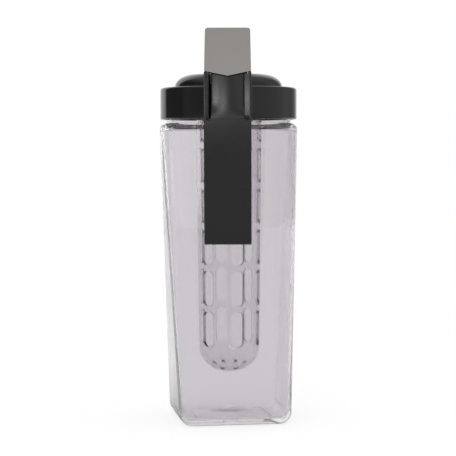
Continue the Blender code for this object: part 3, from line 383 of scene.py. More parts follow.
# %% Silicone and steel
finish, place = new_finish("silicone")
slow = noise(finish, place, 90.0, 3.0)
SILICONE = surface(finish, {"Base Color": blended(finish, slow, (0.50, 0.50, 0.51), (0.58, 0.58, 0.59)),
                            "Roughness": 0.42 + slow * 0.12, "Subsurface Weight": 0.4,
                            "Subsurface Scale": 0.002})

finish, place = new_finish("steel")
lines = finish.node("Mapping", inputs={"Vector": place, "Scale": (60.0, 1200.0, 1200.0)})
drawn = noise(finish, lines, 1.0, 3.0)
STEEL = surface(finish, {"Base Color": blended(finish, drawn, (0.52, 0.52, 0.54), (0.66, 0.66, 0.67)),
                         "Metallic": 1.0, "Normal": bumps(finish, drawn, 0.000003),
                         "Roughness": 0.2 + drawn * 0.15})

# %% [markdown]
# ## Four tools for every piece
#
# Nearly every piece of this jug is turned or cut from a plate. A turned piece is a profile and a spin, a
# plate is an outline and an extrude, and where two shapes meet a Boolean joins or cuts them. One last tool
# puts a piece in place and says which body of the frame it rides on.

# %% Outlines
MERGE = 0.000001
ROUND = 192
CURVE = 10


def arc(centre, radius, start, end, steps=CURVE, rise=None):
    """Points along a round or, with its own rise, an elliptical arc."""
    rise = radius if rise is None else rise
    turns = [start + (end - start) * step / steps for step in range(steps + 1)]
    return [(centre[0] + radius * math.cos(turn), centre[1] + rise * math.sin(turn)) for turn in turns]


def rounded(corners, closed=True, steps=6):
    """Corners (across, up, radius) as a path with each corner rounded."""
    path = []
    last = len(corners) - 1
    for index, (across, up, radius) in enumerate(corners):
        here = Vector((across, up))
        if radius == 0 or (not closed and index in (0, last)):
            path.append((across, up))
            continue
        before = (Vector(corners[index - 1][:2]) - here).normalized()
        after = (Vector(corners[0 if index == last else index + 1][:2]) - here).normalized()
        half = before.angle(after) / 2
        centre = here + (before + after).normalized() * radius / math.sin(half)
        first = here + before * radius / math.tan(half) - centre
        final = here + after * radius / math.tan(half) - centre
        start = math.atan2(first.y, first.x)
        sweep = (math.atan2(final.y, final.x) - start + math.pi) % math.tau - math.pi
        path += arc(centre, radius, start, start + sweep, steps)
    return path


def square(points):
    """Points as corners that stay sharp."""
    return [(*point, 0) for point in points]


def rectangle(low, high):
    return [(low[0], low[1]), (high[0], low[1]), (high[0], high[1]), (low[0], high[1])]


def tapered_link(first, first_radius, second, second_radius, steps=CURVE):
    """The outline round two circles and the straight sides that touch both."""
    across = second[0] - first[0]
    up = second[1] - first[1]
    heading = math.atan2(up, across)
    spread = math.acos((first_radius - second_radius) / math.hypot(across, up))
    near = arc(first, first_radius, heading + spread, heading + math.tau - spread, steps * 2)
    far = arc(second, second_radius, heading - spread, heading + spread, steps)
    return near + far


# %% Turned pieces and plates
PLAN = Matrix.Identity(4)
SIDE = Matrix(((0, 0, 1), (1, 0, 0), (0, 1, 0))).to_4x4()
FRONT = Matrix(((1, 0, 0), (0, 0, -1), (0, 1, 0))).to_4x4()
RIM_ANGLE = math.radians(50)


def everything(bm):
    return list(bm.verts) + list(bm.edges) + list(bm.faces)


def moved(made, kind=bmesh.types.BMVert):
    """The vertices, or the edges, that an operator has just made."""
    return [item for item in made if isinstance(item, kind)]


def round_rims(bm, rims, width, segments=3):
    bmesh.ops.bevel(bm, geom=rims, offset=width, offset_type="OFFSET", segments=segments, profile=0.5,
                    affect="EDGES", clamp_overlap=True, material=-1)


def lathe(path, steps=ROUND):
    """A profile of (radius, height) points, spun about the jug's axis into a closed skin."""
    bm = bmesh.new()
    points = [bm.verts.new((radius, 0, height)) for radius, height in path]
    edges = [bm.edges.new(pair) for pair in zip(points, points[1:])]
    if path[0][0] > 0:
        edges.append(bm.edges.new((points[-1], points[0])))
    bmesh.ops.spin(bm, geom=points + edges, cent=(0, 0, 0), axis=(0, 0, 1), angle=math.tau, steps=steps,
                   use_merge=True)
    bmesh.ops.remove_doubles(bm, verts=bm.verts, dist=MERGE)
    bmesh.ops.recalc_face_normals(bm, faces=bm.faces)
    return bm


def plate(outline, plane, low, high, edge=0.0, segments=3):
    """A flat outline raised from low to high square to its plane, with its rims rounded."""
    bm = bmesh.new()
    face = bm.faces.new([bm.verts.new((across, up, low)) for across, up in outline])
    raised = bmesh.ops.extrude_face_region(bm, geom=[face])["geom"]
    bmesh.ops.translate(bm, verts=moved(raised), vec=(0, 0, high - low))
    bmesh.ops.recalc_face_normals(bm, faces=bm.faces)
    if edge:
        round_rims(bm, [rim for rim in bm.edges if rim.calc_face_angle(0) > RIM_ANGLE], edge, segments)
    bmesh.ops.transform(bm, matrix=plane, verts=bm.verts)
    return bm


def rod(radius, plane, centre, low, high, steps=32):
    return plate(arc(centre, radius, 0, math.tau, steps)[:-1], plane, low, high)


# %% Joining and cutting
def combine(base, tool, operation):
    """Two skins made one by a Boolean. Both are used up."""
    parts = [add_object("working", as_mesh("working", bm)) for bm in (base, tool)]
    modifier = parts[0].modifiers.new("Boolean", "BOOLEAN")
    modifier.operation = operation
    modifier.solver = "EXACT"
    modifier.object = parts[1]
    bpy.context.view_layer.update()
    graph = bpy.context.evaluated_depsgraph_get()
    mesh = bpy.data.meshes.new_from_object(parts[0].evaluated_get(graph))
    for part in parts:
        bpy.data.objects.remove(part, do_unlink=True)
    result = bmesh.new()
    result.from_mesh(mesh)
    bpy.data.meshes.remove(mesh)
    return result


def join(base, *tools):
    for tool in tools:
        base = combine(base, tool, "UNION")
    return base


def cut(base, *tools):
    for tool in tools:
        base = combine(base, tool, "DIFFERENCE")
    return base


def copies(bm, matrices):
    """The same skin at several places, in one bmesh."""
    mesh = as_mesh("copies", bm)
    several = bmesh.new()
    for matrix in matrices:
        turned = mesh.copy()
        turned.transform(matrix)
        several.from_mesh(turned)
        bpy.data.meshes.remove(turned)
    bpy.data.meshes.remove(mesh)
    return several


# %% Setting a piece in place
FINE_EDGE = 0.0002


def set_piece(name, bm, finish, body, node, crease=35, edge=0.0, even=False):
    """Makes the piece's object about the jug's axis and hands it to the frame."""
    bmesh.ops.translate(bm, verts=bm.verts, vec=(0, AXIS_Y, 0))
    open_edges = sum(1 for rim in bm.edges if len(rim.link_faces) != 2)
    mesh = as_mesh(name, bm)
    mesh.shade_smooth()
    mesh.set_sharp_from_angle(angle=math.radians(crease))
    mesh.materials.append(finish)
    piece = add_object(name, mesh)
    if edge:
        bevel = piece.modifiers.new("Edges", "BEVEL")
        bevel.width = edge
        bevel.segments = 2
        bevel.limit_method = "ANGLE"
        bevel.angle_limit = RIM_ANGLE
        bevel.use_clamp_overlap = False
        bevel.harden_normals = True
    if even:
        piece.modifiers.new("Even shading", "WEIGHTED_NORMAL").keep_sharp = True
    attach(piece, body)
    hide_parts(node)
    print(f"{name}: {len(mesh.polygons)} faces, {open_edges} open edges")


# %% [markdown]
# ## The jug
#
# The jug is blown or moulded clear plastic, round where the lid screws on and a rounded square at its
# foot. The easy way to such a form is to turn it as if it were round and then push each point out or in to
# a rounded square whose flats grow wider and whose corners grow tighter towards the foot, which keeps the
# sides straight from any view. One rule does the outside, the inside and the foot.

# %% Jug sizes
BODY_TOP_RADIUS = 0.0504
BODY_TOP_HEIGHT = 0.2131
SHOULDER_RISE = 0.0046
SHOULDER_WALL = 0.0024
NECK_INSET = 0.0048
NECK_WALL = 0.0026
RIM_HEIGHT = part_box("jug_body")[1].z
RIM_ROUND = 0.0009
BASE_WIDTH = 0.0808
BASE_CORNER = 0.0085
BASE_CORNER_INSIDE = 0.0043
BASE_TURN = math.radians(9)
BASE_EDGE = 0.0085
BODY_WALL = 0.0026
FLOOR_THICKNESS = 0.0045
INNER_EDGE = 0.0065
FOOT_WIDTH = 0.0040
FOOT_RISE = 0.0012
GATE_RADIUS = 0.0060
GATE_DEPTH = 0.0007
ROUND_CORE = 0.0080
SQUARE_FROM = 0.0260
THREAD_LOW = 0.2225
THREAD_HIGH = 0.2365
THREAD_PITCH = 0.0050
THREAD_WIDTH = 0.0020
THREAD_HEIGHT = 0.0011
THREAD_FADE = 0.35
GATE_ROUND = 0.0006
JUG_ROUND = 320
WALL_LEVELS = 40
THREAD_LEVELS = 48


# %% Jug profile
def straight(across, start, end, steps):
    """Points up or down a wall, without its ends."""
    return [(across, start + (end - start) * step / steps) for step in range(1, steps)]


def jug_path():
    """Outside from the gate mark to the rim, then inside down to the floor's middle."""
    quarter = math.pi / 2
    neck = BODY_TOP_RADIUS - NECK_INSET
    bore = neck - NECK_WALL
    wall_in = BODY_TOP_RADIUS - BODY_WALL
    foot = BODY_TOP_RADIUS - BASE_EDGE
    underside = foot - FOOT_WIDTH - FOOT_RISE
    gate_height = FOOT_RISE + GATE_DEPTH
    gate = rounded([(0, gate_height, 0), (GATE_RADIUS - GATE_DEPTH, gate_height, GATE_ROUND),
                    (GATE_RADIUS, FOOT_RISE, GATE_ROUND), (underside, FOOT_RISE, GATE_ROUND),
                    (underside + FOOT_RISE, 0, GATE_ROUND), (foot, 0, 0)], closed=False)
    outside = arc((foot, BASE_EDGE), BASE_EDGE, -quarter, 0, 14)
    outside += straight(BODY_TOP_RADIUS, BASE_EDGE, BODY_TOP_HEIGHT, WALL_LEVELS)
    outside += arc((neck, BODY_TOP_HEIGHT), NECK_INSET, 0, quarter, 14, rise=SHOULDER_RISE)
    outside += straight(neck, BODY_TOP_HEIGHT + SHOULDER_RISE, RIM_HEIGHT - RIM_ROUND, THREAD_LEVELS)
    rim = arc((neck - RIM_ROUND, RIM_HEIGHT - RIM_ROUND), RIM_ROUND, 0, quarter, 5)
    rim += arc((bore + RIM_ROUND, RIM_HEIGHT - RIM_ROUND), RIM_ROUND, quarter, math.pi, 5)
    shoulder = BODY_TOP_HEIGHT - SHOULDER_WALL
    inside = arc((bore, shoulder), wall_in - bore, quarter, 0, 14, rise=SHOULDER_RISE)
    floor_edge = FLOOR_THICKNESS + INNER_EDGE
    inside += straight(wall_in, shoulder, floor_edge, WALL_LEVELS)
    inside += arc((wall_in - INNER_EDGE, floor_edge), INNER_EDGE, 0, -quarter, 12)
    return gate + outside[1:] + rim + inside + [(0, FLOOR_THICKNESS)]


# %% From round to square
def square_reach(direction, half, corner):
    """Distance from the axis to a rounded square's edge, in a direction from its own axes."""
    fold = abs((direction + math.pi / 4) % (math.pi / 2) - math.pi / 4)
    core = half - corner
    if half * math.tan(fold) <= core:
        return half / math.cos(fold)
    return core * (math.cos(fold) + math.sin(fold)) + math.sqrt(
        corner ** 2 - core ** 2 * (1 - math.sin(2 * fold)))


def smooth_step(value, low, high):
    share = min(1.0, max(0.0, (value - low) / (high - low)))
    return share * share * (3 - 2 * share)


def jug_reach(radius, height, direction):
    """How far out a point of the round jug goes: its level is a square whose corners open into a circle."""
    squareness = max(0.0, 1 - height / BODY_TOP_HEIGHT) * smooth_step(radius, ROUND_CORE, SQUARE_FROM)
    if squareness == 0:
        return radius
    half = radius + (BASE_WIDTH / 2 - BODY_TOP_RADIUS) * squareness
    corner = radius + (BASE_CORNER - BODY_TOP_RADIUS) * squareness
    return square_reach(direction, half, max(corner, BASE_CORNER_INSIDE))


def thread_rise(height, turn):
    """A rounded ridge that winds up the neck and runs out at both ends."""
    climb = (height - THREAD_LOW) / THREAD_PITCH - turn / math.tau
    offset = abs(climb - round(climb)) * THREAD_PITCH
    winding = round(climb) + turn / math.tau
    turns = (THREAD_HIGH - THREAD_LOW) / THREAD_PITCH
    ends = smooth_step(winding, 0, THREAD_FADE) * (1 - smooth_step(winding, turns - THREAD_FADE, turns))
    return THREAD_HEIGHT * ends * (1 - smooth_step(offset, THREAD_WIDTH * 0.25, THREAD_WIDTH * 0.75))


# %% Make the jug
bm = lathe(jug_path(), JUG_ROUND)
neck_radius = BODY_TOP_RADIUS - NECK_INSET
for vert in bm.verts:
    radius = math.hypot(vert.co.x, vert.co.y)
    if radius < MERGE:
        continue
    turn = math.atan2(vert.co.y, vert.co.x)
    reach = jug_reach(radius, vert.co.z, turn - BASE_TURN)
    if abs(radius - neck_radius) < MERGE and vert.co.z > THREAD_LOW - THREAD_PITCH:
        reach += thread_rise(vert.co.z, turn % math.tau)
    vert.co.x = reach * math.cos(turn)
    vert.co.y = reach * math.sin(turn)
set_piece("jug", bm, CLEAR_BODY, "jug", "jug_body", crease=60)

# %% [markdown]
# ## The infuser
#
# The infuser is a clear tube with rows of windows and a round end. It is easier to punch a flat sheet than
# a tube, so the sheet is scored along every edge that a window needs, its windows are taken out, and only
# then is it rolled. The round end grows from the tube's lowest loop, and a thickness makes it solid.

# %% Infuser sizes
TUBE_TOP_RADIUS = 0.0243
TUBE_FOOT_RADIUS = 0.0219
TUBE_WALL = 0.0018
TUBE_TIP, TUBE_RIM = (corner.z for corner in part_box("infuser_tube"))
TUBE_ROUND_RISE = 0.0175
FLANGE_RADIUS = 0.0277
FLANGE_THICKNESS = 0.0014
FLANGE_TOP = 0.2236
RIM_GROWTH = 0.0010
WINDOW_COLUMNS = 6
WINDOW_ROWS = 6
WINDOW_FIRST = math.radians(-90 + 16.5)
WINDOW_WIDTH = 0.0097
WINDOW_HEIGHT = 0.0252
WINDOW_PITCH = 0.0298
WINDOW_LOWEST = 0.0550
WINDOW_CHAMFER = 0.0022
WINDOW_TOP_MARGIN = 0.0025
DRAIN_COUNT = 8
DRAIN_RADIUS = 0.0013
DRAIN_CIRCLE = 0.0125
BAR_STEPS = 6
END_STEPS = 14
TIP_SHARE = 0.0001
SEAM = 0.00001


def tube_radius(height):
    round_top = TUBE_TIP + TUBE_ROUND_RISE
    share = (height - round_top) / (FLANGE_TOP - round_top)
    return TUBE_FOOT_RADIUS + (TUBE_TOP_RADIUS - TUBE_FOOT_RADIUS) * share


# %% Score, punch and roll the sheet
ROLL = (TUBE_TOP_RADIUS + TUBE_FOOT_RADIUS) / 2
FLANGE_FOOT = FLANGE_TOP - FLANGE_THICKNESS
SHEET_LOW = TUBE_TIP + TUBE_ROUND_RISE


def window_spans():
    """The foot and the head of each row of windows."""
    feet = [WINDOW_LOWEST + WINDOW_PITCH * row for row in range(WINDOW_ROWS)]
    return [(foot, min(foot + WINDOW_HEIGHT, FLANGE_FOOT - WINDOW_TOP_MARGIN)) for foot in feet]


def in_window(across, up):
    """Whether a point of the flat sheet lies in a window with its corners cut off."""
    pitch = math.tau * ROLL / WINDOW_COLUMNS
    side = WINDOW_WIDTH / 2 - abs((across + pitch / 2) % pitch - pitch / 2)
    for foot, head in window_spans():
        inside = min(side, up - foot, head - up)
        if inside > 0 and side + min(up - foot, head - up) > WINDOW_CHAMFER:
            return True
    return False


def score(bm, point, normal):
    bmesh.ops.bisect_plane(bm, geom=everything(bm), dist=MERGE, plane_co=point, plane_no=normal)


def punched_sheet():
    """The sheet in the XZ plane, as wide as the tube is round."""
    length = math.tau * ROLL
    pitch = length / WINDOW_COLUMNS
    half = WINDOW_WIDTH / 2
    bm = bmesh.new()
    corners = [(-pitch / 2, SHEET_LOW), (length - pitch / 2, SHEET_LOW), (length - pitch / 2, FLANGE_FOOT),
               (-pitch / 2, FLANGE_FOOT)]
    bm.faces.new([bm.verts.new((across, 0, up)) for across, up in corners])
    bar = (pitch - WINDOW_WIDTH) / BAR_STEPS
    for column in range(WINDOW_COLUMNS):
        centre = column * pitch
        places = [-half, -half + WINDOW_CHAMFER, 0, half - WINDOW_CHAMFER]
        places += [half + bar * step for step in range(BAR_STEPS)]
        for place in places:
            score(bm, (centre + place, 0, 0), (1, 0, 0))
    for foot, head in window_spans():
        for up in (foot, foot + WINDOW_CHAMFER, head - WINDOW_CHAMFER, head):
            score(bm, (0, 0, up), (0, 0, 1))
    for column in range(WINDOW_COLUMNS):
        for foot, head in window_spans():
            cut_corners(bm, column * pitch, foot, head)
    punched = [face for face in bm.faces if in_window(*face.calc_center_median().xz)]
    bmesh.ops.delete(bm, geom=punched, context="FACES")
    return bm


def cut_corners(bm, centre, foot, head):
    """Splits the small square in each corner of a window along its diagonal."""
    half = WINDOW_WIDTH / 2
    for side in (-1, 1):
        for start, way in ((foot, 1), (head, -1)):
            first = (centre + side * half, start + way * WINDOW_CHAMFER)
            second = (centre + side * (half - WINDOW_CHAMFER), start)
            ends = [vert for vert in bm.verts
                    if min(math.dist(vert.co.xz, first), math.dist(vert.co.xz, second)) < SEAM]
            bmesh.ops.connect_verts(bm, verts=ends)


def roll_up(bm):
    for vert in bm.verts:
        turn = WINDOW_FIRST + vert.co.x / ROLL
        reach = tube_radius(vert.co.z)
        vert.co.x = reach * math.cos(turn)
        vert.co.y = reach * math.sin(turn)
    bmesh.ops.remove_doubles(bm, verts=bm.verts, dist=SEAM)


# %% Round end, wall, flange and rim
def grow_end(bm):
    """Extrudes the lowest loop down and in along a quarter ellipse, and closes its tip."""
    loop = [edge for edge in bm.edges
            if edge.is_boundary and max(vert.co.z for vert in edge.verts) < SHEET_LOW + MERGE]
    for across, up in arc((0, 0), 1.0, 0, -math.pi / 2, END_STEPS)[1:]:
        loop = moved(bmesh.ops.extrude_edge_only(bm, edges=loop)["geom"], bmesh.types.BMEdge)
        for vert in {vert for edge in loop for vert in edge.verts}:
            flat = Vector((vert.co.x, vert.co.y, 0)).normalized()
            place = flat * TUBE_FOOT_RADIUS * max(across, TIP_SHARE)
            vert.co = (place.x, place.y, SHEET_LOW + up * TUBE_ROUND_RISE)
    tip = list({vert for edge in loop for vert in edge.verts})
    bmesh.ops.pointmerge(bm, verts=tip, merge_co=(0, 0, TUBE_TIP))


def spread(bm, low, high, growth):
    """Moves the outward faces between two heights away from the axis, on a new flat ring."""
    band = [face for face in bm.faces if low < face.calc_center_median().z < high
            and face.normal.xy.dot(face.calc_center_median().xy) > 0]
    grown = bmesh.ops.extrude_face_region(bm, geom=band)["geom"]
    bmesh.ops.delete(bm, geom=band, context="FACES_ONLY")
    for vert in moved(grown):
        vert.co += Vector((vert.co.x, vert.co.y, 0)).normalized() * growth


def raise_ring(bm, foot, head, reach):
    """Extrudes the level faces at one height, out to a reach, straight up to another."""
    ring = [face for face in bm.faces if all(abs(vert.co.z - foot) < MERGE for vert in face.verts)
            and face.calc_center_median().xy.length < reach]
    grown = bmesh.ops.extrude_face_region(bm, geom=ring)["geom"]
    bmesh.ops.delete(bm, geom=ring, context="FACES_ONLY")
    bmesh.ops.translate(bm, verts=moved(grown), vec=(0, 0, head - foot))


# %% Make the infuser
RIM_RADIUS = TUBE_TOP_RADIUS + RIM_GROWTH

bm = punched_sheet()
roll_up(bm)
grow_end(bm)
bmesh.ops.recalc_face_normals(bm, faces=bm.faces)
if sum(face.normal.xy.dot(face.calc_center_median().xy) for face in bm.faces) < 0:
    bmesh.ops.reverse_faces(bm, faces=bm.faces)
bmesh.ops.solidify(bm, geom=bm.faces, thickness=TUBE_WALL)
for vert in bm.verts:
    if vert.co.z > FLANGE_FOOT - TUBE_WALL / 10:
        vert.co.z = FLANGE_FOOT
raise_ring(bm, FLANGE_FOOT, FLANGE_TOP, FLANGE_RADIUS)
spread(bm, FLANGE_FOOT, FLANGE_TOP, RIM_GROWTH)
spread(bm, FLANGE_FOOT, FLANGE_TOP, FLANGE_RADIUS - RIM_RADIUS)
raise_ring(bm, FLANGE_TOP, TUBE_RIM, RIM_RADIUS)
drain = rod(DRAIN_RADIUS, PLAN, (DRAIN_CIRCLE, 0), TUBE_TIP, SHEET_LOW, 20)
turns = [Matrix.Rotation(math.tau * (index + 0.5) / DRAIN_COUNT, 4, "Z") for index in range(DRAIN_COUNT)]
bm = cut(bm, copies(drain, turns))
set_piece("infuser", bm, CLEAR_TUBE, "infuser", "infuser_tube", crease=40, edge=FINE_EDGE)

# %% [markdown]
# ## The screw lid
#
# The lid is one moulding: a turned cap with a thread inside and a raised collar round its pouring hole, a
# beak that leads the drink from the hole over the edge, two ears for the cover's pin, and a tongue under
# which the handle is screwed. The cap is turned, and the rest is added in plates and cut with Booleans.

# %% Lid sizes
CLEARANCE = 0.0003
OVERRUN = 0.0020
LID_RADIUS = 0.0500
LID_TOP = 0.2435
LID_FOOT = LID_LOW.z
ROOF_HEIGHT = 0.2413
LID_SKIRT = 0.0024
LID_EDGE = 0.0021
LID_HEM = 0.0011
POUR_RADIUS = 0.0300
COLLAR_WALL = 0.0020
COLLAR_TOP = 0.2481
COLLAR_ROUND = 0.0006
INNER_ROUND = 0.0010
LID_THREAD_HEIGHT = 0.0005
BEAK_REACH = 0.0570
BEAK_ROOT_WIDTH = 0.0220
BEAK_TIP_WIDTH = 0.0130
BEAK_DEPTH = 0.0070
BEAK_WALL = 0.0016
BEAK_CORNER = 0.0012
BEAK_SLOPE = math.radians(38)
COVER_HINGE = (-0.0445, 0.2510)
COVER_PIN_RADIUS = 0.0012
EAR_RADIUS = 0.0036
EAR_THICKNESS = 0.0028
EAR_INNER = 0.0092
EAR_EDGE = 0.0004
BRACKET_REACH = 0.0660
BRACKET_WIDTH = 0.0180
BRACKET_LOW = 0.2263
BRACKET_THICKNESS = 0.0050
BRACKET_CORNER = 0.0015
BRACKET_EDGE = 0.0005
SCREW_REACH = 0.0580
SCREW_SPACING = 0.0100
SCREW_RADIUS = 0.0011


# %% Lid outlines
def lid_path():
    """The cap's section, with many levels on its inner wall for the thread to rise from."""
    inner = LID_RADIUS - LID_SKIRT
    collar = POUR_RADIUS + COLLAR_WALL
    wall = square(straight(inner, LID_FOOT + LID_HEM, ROOF_HEIGHT - INNER_ROUND, THREAD_LEVELS))
    corners = [(POUR_RADIUS, COLLAR_TOP, COLLAR_ROUND), (collar, COLLAR_TOP, COLLAR_ROUND),
               (collar, LID_TOP, COLLAR_ROUND), (LID_RADIUS, LID_TOP, LID_EDGE),
               (LID_RADIUS, LID_FOOT, LID_HEM), (inner, LID_FOOT, LID_HEM), *wall,
               (inner, ROOF_HEIGHT, INNER_ROUND), (POUR_RADIUS, ROOF_HEIGHT, COLLAR_ROUND)]
    return rounded(corners, steps=8)


def beak_half(reach, inset):
    """Half the beak's width at a distance from the axis, narrowing evenly to its tip."""
    share = (reach - POUR_RADIUS) / (BEAK_REACH - POUR_RADIUS)
    return (BEAK_ROOT_WIDTH + (BEAK_TIP_WIDTH - BEAK_ROOT_WIDTH) * share) / 2 - inset


def beak_outline(start, inset, reach, corner):
    """Plan of the beak from a circle about the axis out to a reach, drawn in by inset."""
    tip = beak_half(reach, inset)
    turn = math.asin(beak_half(start, inset) / start)
    near = square(arc((0, 0), start, math.pi / 2 + turn, math.pi / 2 - turn, 12))
    return rounded(near + [(tip, reach, corner), (-tip, reach, corner)])


def ear():
    """One ear that carries the cover's pin, rooted in the lid's roof."""
    root = (LID_TOP + ROOF_HEIGHT) / 2
    outline = [(COVER_HINGE[0] + EAR_RADIUS, root), *arc(COVER_HINGE, EAR_RADIUS, 0, math.pi, 24),
               (COVER_HINGE[0] - EAR_RADIUS, root)]
    return plate(outline, SIDE, EAR_INNER, EAR_INNER + EAR_THICKNESS, edge=EAR_EDGE)


def screw_rods(radius, low, high):
    places = [Matrix.Translation((side * SCREW_SPACING / 2, -SCREW_REACH, 0)) for side in (-1, 1)]
    return copies(rod(radius, PLAN, (0, 0), low, high), places)


# %% Make the lid
bm = lathe(lid_path())
inner_radius = LID_RADIUS - LID_SKIRT
for vert in bm.verts:
    if abs(vert.co.xy.length - inner_radius) < MERGE:
        turn = math.atan2(vert.co.y, vert.co.x)
        rise = thread_rise(vert.co.z + THREAD_PITCH / 2, turn % math.tau) * LID_THREAD_HEIGHT / THREAD_HEIGHT
        vert.co.xy *= (inner_radius - rise) / inner_radius
beak = beak_outline(LID_RADIUS - LID_SKIRT / 2, 0, BEAK_REACH, BEAK_CORNER)
walls = beak_outline(POUR_RADIUS + COLLAR_WALL / 2, 0, LID_RADIUS, 0)
bm = join(bm, plate(beak, PLAN, LID_TOP - BEAK_DEPTH, COLLAR_TOP, edge=COLLAR_ROUND),
          plate(walls, PLAN, LID_TOP - (LID_TOP - ROOF_HEIGHT) / 2, COLLAR_TOP, edge=COLLAR_ROUND))
channel = beak_outline(POUR_RADIUS - OVERRUN, BEAK_WALL, BEAK_REACH + OVERRUN, 0)
run = BEAK_REACH - LID_RADIUS + OVERRUN
low = LID_TOP - BEAK_DEPTH
undercut = [(LID_RADIUS, low), (LID_RADIUS + run, low + run * math.tan(BEAK_SLOPE)),
            (LID_RADIUS + run, low - OVERRUN), (LID_RADIUS, low - OVERRUN)]
bm = cut(bm, plate(channel, PLAN, LID_TOP, COLLAR_TOP + OVERRUN, edge=BEAK_CORNER, segments=5),
         plate(undercut, SIDE, -BEAK_ROOT_WIDTH, BEAK_ROOT_WIDTH))
ears = copies(ear(), [Matrix.Identity(4), Matrix.Translation((-2 * EAR_INNER - EAR_THICKNESS, 0, 0))])
half = BRACKET_WIDTH / 2
root = -inner_radius - LID_SKIRT / 2
bracket = rounded([(-half, -BRACKET_REACH, BRACKET_CORNER), (half, -BRACKET_REACH, BRACKET_CORNER),
                   (half, root, 0), (-half, root, 0)])
top = BRACKET_LOW + BRACKET_THICKNESS
bm = join(bm, ears, plate(bracket, PLAN, BRACKET_LOW, top, edge=BRACKET_EDGE))
reach = EAR_INNER + EAR_THICKNESS + OVERRUN
bm = cut(bm, screw_rods(SCREW_RADIUS + CLEARANCE, BRACKET_LOW - OVERRUN, top + OVERRUN),
         rod(COVER_PIN_RADIUS + CLEARANCE, SIDE, COVER_HINGE, -reach, reach))
set_piece("screw_lid", bm, POLISHED_BLACK, "lid", "lid_shell", edge=FINE_EDGE)

# %% [markdown]
# ## The flip cover
#
# A low dome hides the pouring hole. Under its crown a thin rib presses a soft ring on the hole's collar. At
# the front a tongue closes the beak, and at the back a knuckle turns on the pin and ends in a tail that the
# thumb lever presses. The dome is turned from a section of two quarter ellipses.

# %% Cover sizes
COVER_RADIUS = 0.0394
COVER_FOOT = LID_TOP + CLEARANCE
COVER_RISE = 0.0094
COVER_ROUND = 0.0136
COVER_WALL = 0.0019
COVER_HEM = 0.0004
RIB_WALL = 0.0014
COVER_SEAL_HEIGHT = 0.0020
COVER_SEAL_WIDTH = 0.0022
ARCH_DEPTH = 0.0060
TONGUE_LOW = COLLAR_TOP + CLEARANCE
TONGUE_THICKNESS = 0.0022
TONGUE_HALF = 0.0108
TONGUE_ROOT = 0.0353
TONGUE_REACH = 0.0545
KNUCKLE_RADIUS = 0.0033
KNUCKLE_LOW = -EAR_INNER + CLEARANCE
KNUCKLE_HIGH = 0.00315
TAIL_LENGTH = 0.0079
TAIL_THICKNESS = 0.0018
TAIL_LIFT = 0.0005
TAIL_WIDTH = 0.0070
RIB_ROUND = 0.0003
TONGUE_CORNER = 0.0018
TONGUE_EDGE = 0.0005
KNUCKLE_EDGE = 0.0003


# %% Cover outlines
def cover_inside(radius):
    """Height of the cover's inner face at a radius."""
    share = (radius - COVER_RADIUS + COVER_ROUND) / (COVER_ROUND - COVER_WALL)
    return COVER_FOOT + (COVER_RISE - COVER_WALL) * math.sqrt(1 - share ** 2)


def cover_path():
    crown = COVER_RADIUS - COVER_ROUND
    quarter = math.pi / 2
    outer = arc((crown, COVER_FOOT), COVER_ROUND, quarter, 0, 28, rise=COVER_RISE)
    inner = arc((crown, COVER_FOOT), COVER_ROUND - COVER_WALL, 0, quarter, 28, rise=COVER_RISE - COVER_WALL)
    middle = POUR_RADIUS + COLLAR_WALL / 2
    rib_foot = TONGUE_LOW + COVER_SEAL_HEIGHT + CLEARANCE
    ribs = (middle + RIB_WALL / 2, middle - RIB_WALL / 2)
    before = square(point for point in inner[1:] if point[0] > ribs[0])
    after = square(point for point in inner if point[0] < ribs[1])
    rib = [(ribs[0], cover_inside(ribs[0]), 0), (ribs[0], rib_foot, RIB_ROUND),
           (ribs[1], rib_foot, RIB_ROUND), (ribs[1], cover_inside(ribs[1]), 0)]
    corners = [(0, outer[0][1], 0), *square(outer[:-1]),
               (COVER_RADIUS, COVER_FOOT, COVER_HEM), (COVER_RADIUS - COVER_WALL, COVER_FOOT, COVER_HEM),
               *before, *rib, *after, (0, inner[-1][1], 0)]
    return rounded(corners, closed=False)


# %% Make the cover
arch = rectangle((-TONGUE_HALF, COVER_RADIUS - ARCH_DEPTH), (TONGUE_HALF, COVER_RADIUS + OVERRUN))
bm = cut(lathe(cover_path()), plate(arch, PLAN, LID_TOP - OVERRUN, TONGUE_LOW))
tip = TONGUE_HALF - (BEAK_ROOT_WIDTH - BEAK_TIP_WIDTH) / 2
tongue = rounded([(-TONGUE_HALF, TONGUE_ROOT, 0), (TONGUE_HALF, TONGUE_ROOT, 0),
                  (tip, TONGUE_REACH, TONGUE_CORNER), (-tip, TONGUE_REACH, TONGUE_CORNER)])
arm_end = (-COVER_RADIUS + COVER_WALL, COVER_HINGE[1] - KNUCKLE_RADIUS / 2)
knuckle = tapered_link(COVER_HINGE, KNUCKLE_RADIUS, arm_end, KNUCKLE_RADIUS / 2, 12)
tail_height = COVER_HINGE[1] + TAIL_LIFT - TAIL_THICKNESS / 2
tail_tip = (COVER_HINGE[0] - TAIL_LENGTH + TAIL_THICKNESS / 2, tail_height)
tail = tapered_link((COVER_HINGE[0], tail_height), TAIL_THICKNESS / 2, tail_tip, TAIL_THICKNESS / 2)
tail_low = (KNUCKLE_LOW + KNUCKLE_HIGH - TAIL_WIDTH) / 2
bm = join(bm, plate(tongue, PLAN, TONGUE_LOW, TONGUE_LOW + TONGUE_THICKNESS, edge=TONGUE_EDGE),
          plate(knuckle, SIDE, KNUCKLE_LOW, KNUCKLE_HIGH, edge=KNUCKLE_EDGE),
          plate(tail, SIDE, tail_low, tail_low + TAIL_WIDTH, edge=KNUCKLE_EDGE))
reach = EAR_INNER + EAR_THICKNESS
bm = cut(bm, rod(COVER_PIN_RADIUS + CLEARANCE, SIDE, COVER_HINGE, -reach, reach))
